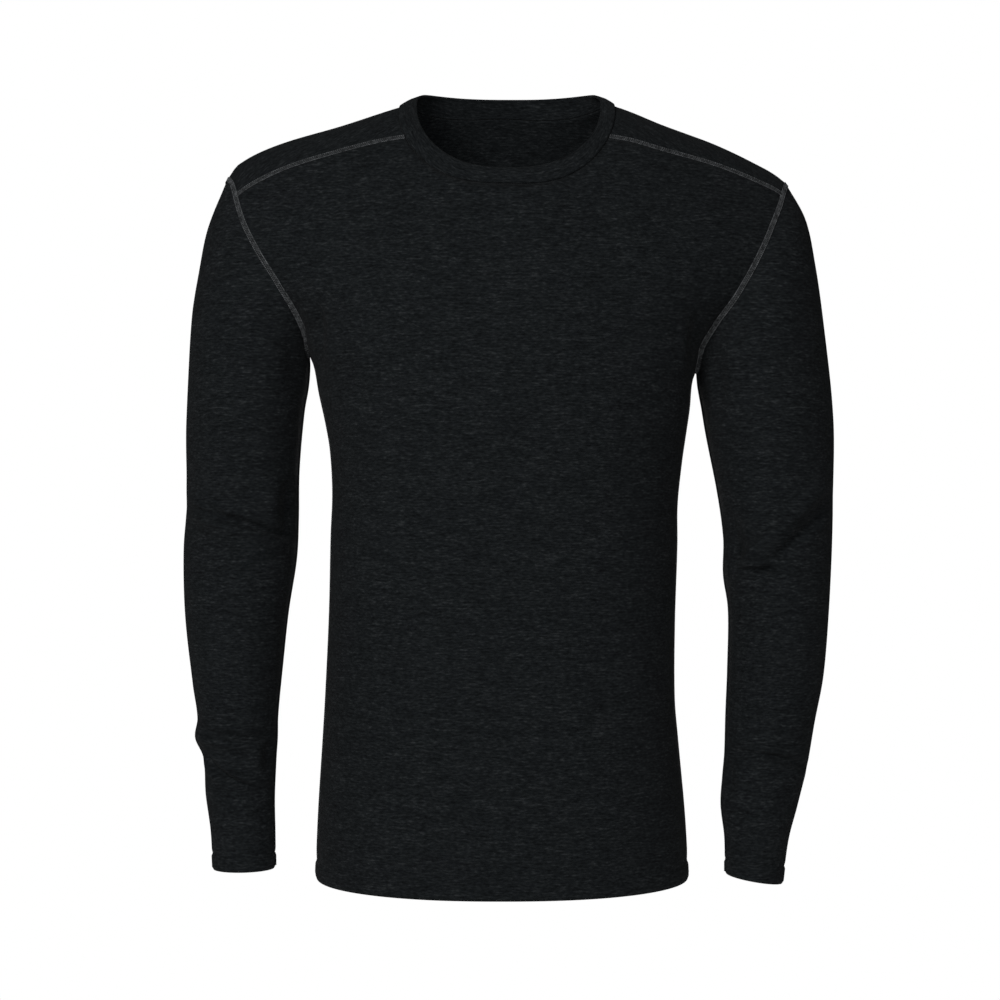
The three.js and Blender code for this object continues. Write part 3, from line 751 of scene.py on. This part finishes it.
def body_pattern(side, marks, rows):
    """A body panel's flat pattern: level rows of the knit, whatever way the grid's rows bend."""
    places = range(-PATTERN_REACH, PATTERN_REACH + 1, PATTERN_PITCH)
    lines = [upright_lengths(side, x) for x in places]
    flat = []
    for mark_row, row in zip(marks, rows):
        middle = min(range(len(row)), key=lambda i: abs(mark_row[i][0]))
        along = running([point.xy for point in row])
        line = []
        for (_, level), point, at in zip(mark_row, row, along):
            up = point.z
            if side > 0 and level > LEAN_LEVEL:
                place = clamp((point.x + PATTERN_REACH) / PATTERN_PITCH, 0, len(lines) - 1.001)
                k = int(place)
                near, far = (through(lines[n], "level", "length", level) for n in (k, k + 1))
                up = mix(near, far, place - k)
            line.append(Vector((at - along[middle], up)) * MM)
        flat.append(line)
    return flat


def sleeve_pattern(name, rows):
    """A sleeve's flat pattern. The arm hangs almost upright, so the rows of the knit lie level on it."""
    sections = [
        {
            "down": -(row["out_z"] + row["in_z"]) / 2,
            "x": (row["out_x"] + row["in_x"]) / 2,
            "y": row["y"],
            "radius": (abs(row["out_x"] - row["in_x"]) / 2 + row["half"]) / 2,
        }
        for row in SLEEVE_SECTIONS[name]
    ]
    hand = SIDES[name]
    count = len(rows[0])
    flat = []
    for row in rows:
        turns, radii = [], []
        for point in [*row, row[0]]:
            x, y, radius = (through(sections, "down", key, -point.z) for key in ("x", "y", "radius"))
            turns.append(math.atan2(point.y - y, hand * (point.x - x)))
            radii.append(radius)
        for k in [*range(count // 2 + 1, count + 1), *range(count // 2 - 1, -1, -1)]:
            neighbour = turns[k - 1] if k > count // 2 else turns[k + 1]
            turns[k] -= math.tau * round((turns[k] - neighbour) / math.tau)
        heights = [point.z for point in [*row, row[0]]]
        flat.append([Vector((t * r, z)) * MM for t, r, z in zip(turns, radii, heights)])
    return flat


def band_pattern(rows):
    """The neck band's flat pattern: along its rings from the middle, and up its height."""
    middle = len(rows[0]) // 2
    heights = [0.0]
    for before, after in zip(rows, rows[1:]):
        step = sum((b - a).length for a, b in zip(before, after)) / len(before)
        heights.append(heights[-1] + step * MM)
    flat = []
    for row, height in zip(rows, heights):
        along = running([*row, row[0]])
        flat.append([Vector(((at - along[middle]) * MM, height)) for at in along])
    return flat


BODY = {"front": (-1, front_marks), "back": (1, back_marks)}
for name, piece in PIECES.items():
    if name in BODY:
        piece["flat"] = body_pattern(*BODY[name], piece["rows"])
    elif name.startswith("sleeve"):
        piece["flat"] = sleeve_pattern(name.removeprefix("sleeve_"), piece["rows"])
    else:
        piece["flat"] = band_pattern(piece["rows"])
    across, up = zip(*(p for row in piece["flat"] for p in row))
    print(f"{name}: flat {max(across) - min(across):.3f} x {max(up) - min(up):.3f} m")


# %% [markdown]
# ## From grids to meshes
# A grid that goes all the way round has its two ends welded together, and every mesh is shaded smooth. The
# thickness is Solidify's, because a wall of one even cloth is just what it makes.

# %% Make a mesh of a grid


def grid_object(name, rows, around, flip, flat, closed=False):
    """A bmesh grid moved onto a piece's points, with the flat pattern as its UV map."""
    columns = len(rows[0]) + (1 if around else 0)
    bm = bmesh.new()
    bmesh.ops.create_grid(bm, x_segments=columns - 1, y_segments=len(rows) - 1, size=1)
    uv = bm.loops.layers.uv.new("cloth")
    places = {}
    for vert in bm.verts:
        i = round((vert.co.x + 1) / 2 * (columns - 1))
        j = round((vert.co.y + 1) / 2 * (len(rows) - 1))
        places[vert] = (j, i)
    for face in bm.faces:
        for loop in face.loops:
            j, i = places[loop.vert]
            loop[uv].uv = flat[j][i]
    for vert, (j, i) in places.items():
        vert.co = rows[j][i % len(rows[0])] * MM
    if around or closed:
        bmesh.ops.remove_doubles(bm, verts=bm.verts, dist=WELD)
    if flip:
        bmesh.ops.reverse_faces(bm, faces=bm.faces)
    return finished(name, bm)


def finished(name, bm):
    """A smooth-shaded object of a bmesh, linked to the scene."""
    for face in bm.faces:
        face.smooth = True
    mesh = bpy.data.meshes.new(name)
    bm.to_mesh(mesh)
    bm.free()
    thing = bpy.data.objects.new(name, mesh)
    bpy.context.scene.collection.objects.link(thing)
    return thing


def thicken(cloth, doubled):
    """Solidify from the single knit's thickness to the doubled one's, by the share that doubled gives."""
    group = cloth.vertex_groups.new(name="doubled")
    for vert in cloth.data.vertices:
        weight = mix(KNIT_THICKNESS / HEM_THICKNESS, 1.0, doubled(vert.co / MM))
        group.add([vert.index], weight, "REPLACE")
    wall = cloth.modifiers.new("cloth thickness", "SOLIDIFY")
    wall.thickness = HEM_THICKNESS * MM
    wall.offset = -1
    wall.use_even_offset = False
    wall.vertex_group = group.name


# %% The five cloth shells
cloth = {}
for name, piece in PIECES.items():
    cloth[name] = grid_object(name + "_cloth", piece["worn"], piece["around"], piece["flip"], piece["flat"])
    print(name, "area", round(sum(p.area for p in cloth[name].data.polygons), 4), "m2")

BODY_HEM_TOP = HEM_SIDE_Z + HEM_DEPTH - 2
HEM_TOPS = {"front": BODY_HEM_TOP, "back": BODY_HEM_TOP, "sleeve_right": -674.0, "sleeve_left": -682.0}
BAND_BLEND = 9.0  # the band's second layer comes in over this distance, so no step shows inside
for name, top in HEM_TOPS.items():
    thicken(cloth[name], lambda p: p.z < top)
neck_seam = PIECES["neck_band"]["worn"][0]
thicken(cloth["neck_band"], lambda p: ease(min((p - q).length for q in neck_seam) / BAND_BLEND))

# %% [markdown]
# ## Seams as places to sew
# A flatlock seam joins two cut edges flat, with threads that run along and across them. To sew one, the
# script needs to know at each step where the seam is, which way the cloth runs on either side, and
# which way is out. Those are taken from the worn cloth itself, so that a stitch always lies on it.

# %% Walk along a seam


def edge(name, cells, inward):
    """A piece's edge as its points, the points beside them inside the piece, and the normals."""
    worn, normals = PIECES[name]["worn"], PIECES[name]["normals"]
    wide = len(worn[0])
    down, over = inward
    return [(worn[j][i % wide], worn[j + down][(i + over) % wide], normals[j][i % wide]) for j, i in cells]


def stations(edge_a, edge_b, closed):
    """Where two edges are sewn: the place, and on both sides the way into the cloth and the way out of it."""
    count = len(edge_a)
    made = []
    for k in range(count):
        before = edge_a[(k - 1) % count if closed else max(k - 1, 0)][0]
        after = edge_a[(k + 1) % count if closed else min(k + 1, count - 1)][0]
        tangent = (after - before).normalized()
        here = {"at": edge_a[k][0]}
        for key, (point, inner, normal) in (("a", edge_a[k]), ("b", edge_b[k])):
            into = inner - point
            into -= normal * into.dot(normal)
            into -= tangent * into.dot(tangent)
            here[key] = into.normalized()
            here[key + "_out"] = normal
        made.append(here)
    return made


def walk(seam, pitch, closed):
    """The same seam with its stations one stitch apart."""
    loop = [*seam, seam[0]] if closed else seam
    along = running([station["at"] for station in loop])
    steps = max(round(along[-1] / pitch), 2)
    made = [{key: loop[i][key].lerp(loop[i + 1][key], t) for key in loop[i]} for i, t in spaced(along, steps)]
    return made[:-1] if closed else made


SEAM_HALF = 2.9  # half the width of a flatlock seam
BRIDGE_TOP = 5.0  # a seam never stands higher than this over the bottom of a valley
BRIDGE_FROM = 0.25  # how steep a valley is, as a slope, before the seam lies fully across it


def on_seam(station, across, lift):
    """A place beside the seam. In a valley, as at the armpit, the seam lies across it like a bridge."""
    side = "a" if across < 0 else "b"
    middle_out = (station["a_out"] + station["b_out"]).normalized()
    out = station[side + "_out"] if across else middle_out
    on_cloth = station["at"] + station[side] * abs(across) + out * lift
    valley = (station["a"].dot(middle_out) + station["b"].dot(middle_out)) / 2
    if valley <= 0:
        return on_cloth
    chord = (station["a"] - station["b"]).normalized()
    spread = max(abs(station["a"].dot(chord)), BRIDGE_FROM)
    height = min(SEAM_HALF * valley / spread, BRIDGE_TOP)
    bridge = station["at"] - chord * across + middle_out * (height + lift)
    return on_cloth.lerp(bridge, clamp(valley / BRIDGE_FROM))


LAST_COLUMN = len(front_rows[0]) - 1
COLUMN = {"right": 0, "left": LAST_COLUMN}
INTO = {"right": 1, "left": -1}
TOP = {"front": len(front_rows) - 1, "back": len(back_rows) - 1}


def armhole_stations(name):
    column, over = COLUMN[name], INTO[name]
    front_cells = [(j, column) for j in range(SIDE_ROWS, TOP["front"] + 1)]
    back_cells = [(j, column) for j in range(TOP["back"] - 1, SIDE_ROWS, -1)]
    body = edge("front", front_cells, (0, over)) + edge("back", back_cells, (0, over))
    arm = edge("sleeve_" + name, [(0, k) for k in range(len(body))], (1, 0))
    return stations(body, arm, True)


def shoulder_stations(name):
    columns = [COLUMN[name] + INTO[name] * i for i in range(SHOULDER_COLUMNS + 1)]
    halves = [edge(part, [(TOP[part], i) for i in columns], (-1, 0)) for part in ("front", "back")]
    return stations(*halves, False)


def side_stations(name):
    cells = [(j, COLUMN[name]) for j in range(SIDE_ROWS + 1)]
    return stations(*(edge(part, cells, (0, INTO[name])) for part in ("front", "back")), False)


def underarm_stations(name):
    cells = [(j, 0) for j in range(SLEEVE_ROWS)]
    return stations(edge("sleeve_" + name, cells, (0, 1)), edge("sleeve_" + name, cells, (0, -1)), False)


SEAMS = {}
for name in SIDES:
    SEAMS["armhole_seam_" + name] = (armhole_stations(name), True)
    SEAMS["shoulder_seam_" + name] = (shoulder_stations(name), False)
    SEAMS["side_seam_" + name] = (side_stations(name), False)
    SEAMS["underarm_seam_" + name] = (underarm_stations(name), False)
print("seams:", sorted(SEAMS))

# %% [markdown]
# ## Flatlock seams
# Under the threads of a flatlock seam the two edges lie side by side and make a low flat ridge, which is the
# bed here: a bmesh grid along the seam with a short profile across it. Each thread is one small closed shape
# made by bmesh's sphere, pulled long by a matrix. Two rows of needle stitches run along the seam and a
# cover thread zigzags between them. An image could draw all this, but real threads catch the light.

# %% The bed of a seam
BED_HALF = [(1.0, 0.5), (1.9, 0.42), (2.6, 0.2), (SEAM_HALF, -0.3)]
BED_PROFILE = table("across lift", [*((-a, h) for a, h in BED_HALF[::-1]), (0, 0.4), *BED_HALF])
BED_PITCH = 3.0


def seam_bed(name, seam, closed):
    places = walk(seam, BED_PITCH, closed)
    rows = [[on_seam(s, p["across"], p["lift"]) for p in BED_PROFILE] for s in places]
    if closed:
        rows.append(rows[0])
    flat = [[Vector((p["across"] * MM, j * BED_PITCH * MM)) for p in BED_PROFILE] for j in range(len(rows))]
    middle = len(BED_PROFILE) // 2
    facing = (rows[0][middle + 1] - rows[0][middle - 1]).cross(rows[1][middle] - rows[0][middle])
    return grid_object(name, rows, False, facing.dot(places[0]["a_out"]) < 0, flat, closed)


# %% Threads
THREAD_SIDES = 6
THREAD_RINGS = 4


def thread(start, end, out, width, height):
    """The matrix that pulls a small ball long, into one stitch of thread from start to end."""
    along = (end - start) / 2
    side = out.cross(along).normalized()
    out = along.cross(side).normalized()
    matrix = Matrix.Identity(4)
    for column, axis in enumerate((side * width / 2, out * height / 2, along, (start + end) / 2)):
        matrix.col[column].xyz = axis * MM
    return matrix


def one_thread():
    bm = bmesh.new()
    bm.loops.layers.uv.new("thread")
    bmesh.ops.create_uvsphere(bm, u_segments=THREAD_SIDES, v_segments=THREAD_RINGS, radius=1, calc_uvs=True)
    mesh = bpy.data.meshes.new("one thread")
    bm.to_mesh(mesh)
    bm.free()
    return mesh


def thread_object(name, matrices):
    """One joined mesh with a thread for each matrix."""
    ball = one_thread()
    bm = bmesh.new()
    for matrix in matrices:
        pulled = ball.copy()
        pulled.transform(matrix)
        bm.from_mesh(pulled)
        bpy.data.meshes.remove(pulled)
    bpy.data.meshes.remove(ball)
    return finished(name, bm)


COVER_SHARE = 0.42  # the cover thread is this much as wide as the needle thread
NEEDLE_THREAD = {"lift": 0.6, "width": 0.9, "height": 0.5}
COVER_THREAD = {"width": NEEDLE_THREAD["width"] * COVER_SHARE, "height": 0.4}


def flatlock_threads(name, seam, closed, pitch, rows):
    """Two needle rows along a seam and the cover thread that zigzags between them."""
    places = walk(seam, pitch, closed)
    lift = NEEDLE_THREAD["lift"]
    matrices = []
    count = len(places)
    for k in range(count if closed else count - 1):
        here, there = places[k], places[(k + 1) % count]
        out = (here["a_out"] + here["b_out"]).normalized()
        for across in rows:
            ends = on_seam(here, across, lift), on_seam(there, across, lift)
            matrices.append(thread(*ends, out, NEEDLE_THREAD["width"], NEEDLE_THREAD["height"]))
        low, high = rows[0], rows[-1]
        half = {key: here[key].lerp(there[key], 0.5) for key in here}
        turn_place = on_seam(half, high, lift)
        for ends in ((on_seam(here, low, lift), turn_place), (turn_place, on_seam(there, low, lift))):
            matrices.append(thread(*ends, out, COVER_THREAD["width"], COVER_THREAD["height"]))
    return thread_object(name, matrices)


NEEDLE_ROWS = (-2.0, 2.0)
FLATLOCK_PITCH = 1.7
beds, threads = {}, {}
for name, (seam, closed) in SEAMS.items():
    beds[name] = seam_bed(name + "_bed", seam, closed)
    threads[name] = flatlock_threads(name + "_threads", seam, closed, FLATLOCK_PITCH, NEEDLE_ROWS)
print("flatlock threads:", {name: len(t.data.polygons) for name, t in threads.items()})

# %% [markdown]
# ## Hems
# The hem and the cuffs are turned up once and held by two rows of stitches in thread of the cloth's own
# colour, 4 mm apart. They are the same small thread shapes, in rows that go all the way round.

# %% Hem and cuff stitches
HEM_ROWS = (-2.0, 2.0)
HEM_PITCH = 2.6
HEM_STITCH_SHARE = 0.86  # a stitch shows on this share of its pitch, and then dives into the cloth
HEM_THREAD = {"lift": 0.1, "width": 0.6, "height": 0.5}


def row_stations(cells_by_piece):
    up, down = [], []
    for name, cells in cells_by_piece:
        up += edge(name, cells, (1, 0))
        down += edge(name, cells, (-1, 0))
    return stations(up, down, True)


def stitch_rows(name, seam, rows):
    """Plain rows of stitches on a closed line, each a separate short thread."""
    matrices = []
    places = walk(seam, HEM_PITCH, True)
    for k, here in enumerate(places):
        there = places[(k + 1) % len(places)]
        near = {key: here[key].lerp(there[key], HEM_STITCH_SHARE) for key in here}
        out = (here["a_out"] + here["b_out"]).normalized()
        for across in rows:
            ends = (on_seam(place, across, HEM_THREAD["lift"]) for place in (here, near))
            matrices.append(thread(*ends, out, HEM_THREAD["width"], HEM_THREAD["height"]))
    return thread_object(name, matrices)


columns = range(LAST_COLUMN + 1)
front_cells, back_cells = [(FINE, i) for i in columns], [(FINE, i) for i in reversed(columns)]
hem_line = row_stations([("front", front_cells), ("back", back_cells)])
hem_stitches = {"body": stitch_rows("hem_stitches", hem_line, HEM_ROWS)}
for name in SIDES:
    ring = range(len(sleeve_rows[name][0]))
    cuff_line = row_stations([("sleeve_" + name, [(SLEEVE_ROWS - CUFF_ROWS, k) for k in ring])])
    hem_stitches[name] = stitch_rows("cuff_stitches_" + name, cuff_line, HEM_ROWS)
print("hem stitches:", {name: len(s.data.polygons) for name, s in hem_stitches.items()})

# %% [markdown]
# ## The knit's finish
# The yarn is spun from black fibres with some grey ones, so the cloth isn't one black: short streaks lie
# along the rows of stitches, as long as the yarn shows on the face before it dives to the back. That is a
# noise squeezed along the rows. Under it the stitches themselves are a fine bump, columns of small V shapes
# about a millimetre wide. Both read the cloth UV map, so they follow each piece's own grain. Wool
# has almost no gloss and a faint soft sheen of loose fibres.

# %% Helpers for materials


def new_material(name):
    material = bpy.data.materials.new(name)
    material.use_nodes = True
    return material, material.node_tree, material.node_tree.nodes["Principled BSDF"]


def add(tree, kind, inputs=None, **settings):
    """A node with its settings; an input that is a socket is linked, and any other is a value."""
    made = tree.nodes.new(kind)
    for key, value in settings.items():
        setattr(made, key, value)
    for key, value in (inputs or {}).items():
        if isinstance(value, bpy.types.NodeSocket):
            tree.links.new(value, made.inputs[key])
        else:
            made.inputs[key].default_value = value
    return made


def calculate(tree, operation, a, b=0.0):
    return add(tree, "ShaderNodeMath", {0: a, 1: b}, operation=operation).outputs[0]


def ramp(tree, factor, stops):
    """A colour ramp from a list of (place, colour)."""
    made = add(tree, "ShaderNodeValToRGB", {"Fac": factor})
    elements = made.color_ramp.elements
    while len(elements) < len(stops):
        elements.new(0.5)
    for element, (place, colour) in zip(elements, stops):
        element.position = place
        element.color = (*colour, 1)
    return made.outputs["Color"]


# %% The heathered knit
WALE = 0.0011  # width of a column of stitches, in metres
COURSE = 0.0009  # height of a row of stitches
STREAKS = table("length height share detail seed", [
    (0.0038, 0.0015, 0.52, 1.0, 1.3),
    (0.012, 0.0018, 0.34, 1.0, 5.1),
    (0.03, 0.008, 0.14, 1.0, 9.7),
])
KNIT_COLOURS = [
    (0.3, (0.0022, 0.0026, 0.003)),
    (0.47, (0.0058, 0.007, 0.0078)),
    (0.58, (0.0098, 0.0114, 0.0124)),
    (0.72, (0.023, 0.0254, 0.0268)),
]
STITCH_SLANT = 1.4  # how steep a stitch's V is
GRAIN_ROUGHNESS = 0.55
GRAIN_RELIEF = 0.6  # how much the streaks stand out, beside the stitches
KNIT_BUMP = {"Strength": 0.5, "Distance": 0.0003}
KNIT_GLOSS = {"Roughness": 0.95, "Specular IOR Level": 0.06, "Sheen Weight": 0.01, "Sheen Roughness": 0.5}


def set_values(shader, values):
    for key, value in values.items():
        shader.inputs[key].default_value = value


def stitch_height(tree, uv):
    """The height of the knit's small V shapes at a place in the cloth map, from 0 to 1."""
    split = add(tree, "ShaderNodeSeparateXYZ", {0: uv})
    wale = calculate(tree, "DIVIDE", split.outputs["X"], WALE)
    from_middle = calculate(tree, "PINGPONG", wale, 0.5)
    course = calculate(tree, "DIVIDE", split.outputs["Y"], COURSE)
    slanted = calculate(tree, "ADD", course, calculate(tree, "MULTIPLY", from_middle, STITCH_SLANT))
    yarn = calculate(tree, "SINE", calculate(tree, "MULTIPLY", slanted, 2 * math.pi))
    arm = calculate(tree, "SINE", calculate(tree, "MULTIPLY", from_middle, 2 * math.pi))
    return calculate(tree, "MULTIPLY", calculate(tree, "MULTIPLY_ADD", yarn, 0.5), arm)


def knit_material():
    material, tree, shader = new_material("heathered knit")
    uv = add(tree, "ShaderNodeUVMap", uv_map="cloth").outputs["UV"]
    mixed = None
    for streak in STREAKS:
        place = {"Vector": uv, "Location": (streak["seed"],) * 3}
        place["Scale"] = (1 / streak["length"], 1 / streak["height"], 1)
        scaled = add(tree, "ShaderNodeMapping", place).outputs["Vector"]
        noisy = {"Vector": scaled, "Scale": 1.0, "Detail": streak["detail"], "Roughness": GRAIN_ROUGHNESS}
        grain = add(tree, "ShaderNodeTexNoise", noisy).outputs["Fac"]
        part = calculate(tree, "MULTIPLY", grain, streak["share"])
        mixed = part if mixed is None else calculate(tree, "ADD", mixed, part)
    tree.links.new(ramp(tree, mixed, KNIT_COLOURS), shader.inputs["Base Color"])
    relief = calculate(tree, "MULTIPLY", mixed, GRAIN_RELIEF)
    height = calculate(tree, "ADD", stitch_height(tree, uv), relief)
    bump = add(tree, "ShaderNodeBump", {**KNIT_BUMP, "Height": height})
    tree.links.new(bump.outputs["Normal"], shader.inputs["Normal"])
    set_values(shader, KNIT_GLOSS)
    return material


PLY_TWIST = 3.0
PLIES = 2
THREAD_PATCHES = 350.0  # patches of lighter and darker thread, this many to a metre
THREAD_BUMP = {"Strength": 0.4, "Distance": 0.0001}
THREAD_GLOSS = {"Roughness": 0.8, "Specular IOR Level": 0.15}


def thread_material(name, colour, uneven):
    """Spun thread: its two plies twist round each other, and no two stitches are quite alike."""
    material, tree, shader = new_material(name)
    uv = add(tree, "ShaderNodeUVMap", uv_map="thread").outputs["UV"]
    split = add(tree, "ShaderNodeSeparateXYZ", {0: uv})
    slant = calculate(tree, "MULTIPLY", split.outputs["Y"], PLY_TWIST)
    twist = calculate(tree, "ADD", split.outputs["X"], slant)
    ply = calculate(tree, "SINE", calculate(tree, "MULTIPLY", twist, PLIES * math.tau))
    place = add(tree, "ShaderNodeTexCoord").outputs["Object"]
    patches = {"Vector": place, "Scale": THREAD_PATCHES, "Detail": 2.0}
    patch = add(tree, "ShaderNodeTexNoise", patches).outputs["Fac"]
    dark = tuple(c * (1 - uneven) for c in colour)
    light = tuple(c * (1 + uneven) for c in colour)
    tree.links.new(ramp(tree, patch, [(0.3, dark), (0.7, light)]), shader.inputs["Base Color"])
    bump = add(tree, "ShaderNodeBump", {**THREAD_BUMP, "Height": ply})
    tree.links.new(bump.outputs["Normal"], shader.inputs["Normal"])
    set_values(shader, THREAD_GLOSS)
    return material


SEAM_GREY = (0.066, 0.069, 0.072)
HEM_BLACK = (0.006, 0.0066, 0.0072)
knit = knit_material()
seam_thread = thread_material("grey seam thread", SEAM_GREY, uneven=0.7)
hem_thread = thread_material("black hem thread", HEM_BLACK, uneven=0.4)
print("materials:", knit.name, seam_thread.name, hem_thread.name)

# %% [markdown]
# ## Dress the solids
# Every piece rides on the one body and is given its material, and each solid is hidden, so that its cloth
# shell shows in its place. For each piece, the seams and stitches sewn onto it are gathered.

# %% Give each piece its material, hang it on the body and hide its solid
for thing in [*cloth.values(), *beds.values()]:
    thing.data.materials.append(knit)
for thing in threads.values():
    thing.data.materials.append(seam_thread)
for thing in hem_stitches.values():
    thing.data.materials.append(hem_thread)
for thing in [*cloth.values(), *beds.values(), *threads.values(), *hem_stitches.values()]:
    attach(thing, "root")
for name, thing in cloth.items():
    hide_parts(name)

# %% The seams and stitches sewn onto each piece
SEWN_ON = {
    "front": ["shoulder_seam_right", "shoulder_seam_left", "side_seam_right", "side_seam_left"],
    "back": [],
    "sleeve_right": ["armhole_seam_right", "underarm_seam_right"],
    "sleeve_left": ["armhole_seam_left", "underarm_seam_left"],
    "neck_band": [],
}
STITCHED = {"front": "body", "sleeve_right": "right", "sleeve_left": "left"}
for name, thing in cloth.items():
    extra = [part[seam] for seam in SEWN_ON[name] for part in (beds, threads)]
    if name in STITCHED:
        extra.append(hem_stitches[STITCHED[name]])

# %% [markdown]
# ## Floor, light and camera
# The photograph is taken straight on in soft front light against plain white. The world is white where the
# camera sees it and dimmer where it lights the cloth. Two large soft lights stand in front, and a third
# lights the back, for those who look at the object from behind. The floor lies well below the hem,
# because the garment is held up by its wearer and touches nothing.

# %% The floor
FLOOR_Z = -1.3
FLOOR_HALF = 2.0
bm = bmesh.new()
bmesh.ops.create_circle(bm, cap_ends=True, segments=96, radius=FLOOR_HALF)
bmesh.ops.translate(bm, verts=bm.verts, vec=(0, 0, FLOOR_Z))
floor = finished("floor", bm)
pale, _, pale_shader = new_material("pale floor")
set_values(pale_shader, {"Base Color": (0.9, 0.9, 0.9, 1), "Roughness": 0.8})
floor.data.materials.append(pale)

# %% The lights
WORLD_LIGHT = 0.07
world = bpy.data.worlds.new("white studio")
world.use_nodes = True
bpy.context.scene.world = world
tree = world.node_tree
seen = add(tree, "ShaderNodeLightPath").outputs["Is Camera Ray"]
strength = calculate(tree, "MAXIMUM", seen, WORLD_LIGHT)
background = tree.nodes["Background"]
background.inputs["Color"].default_value = (1, 1, 1, 1)
tree.links.new(strength, background.inputs["Strength"])


def soft_light(name, place, target, size, power):
    light = bpy.data.lights.new(name, "AREA")
    light.size = size
    light.energy = power
    lamp = bpy.data.objects.new(name, light)
    lamp.location = place
    lamp.rotation_mode = "QUATERNION"
    lamp.rotation_quaternion = (Vector(target) - Vector(place)).to_track_quat("-Z", "Y")
    bpy.context.scene.collection.objects.link(lamp)


GARMENT_MIDDLE = (0, 0, -0.35)
soft_light("upper left light", (-1.2, -2.3, 0.9), GARMENT_MIDDLE, 1.0, 56)
soft_light("front light", (0.5, -2.9, -0.2), GARMENT_MIDDLE, 1.6, 30)
soft_light("back light", (0, 2.9, -0.2), GARMENT_MIDDLE, 1.6, 50)

# %% The camera
CAMERA_PLACE = (-0.00225, -2.2, -0.363)
PICTURE_WIDTH = 0.9  # metres across the picture in the plane of the shoulders
SENSOR = 36
camera_data = bpy.data.cameras.new("camera")
camera_data.sensor_width = SENSOR
camera_data.lens = SENSOR * -CAMERA_PLACE[1] / PICTURE_WIDTH
camera = bpy.data.objects.new("camera", camera_data)
camera.location = CAMERA_PLACE
camera.rotation_euler = (math.radians(90), 0, 0)
bpy.context.scene.collection.objects.link(camera)
bpy.context.scene.camera = camera
bpy.context.scene.view_settings.view_transform = "Standard"
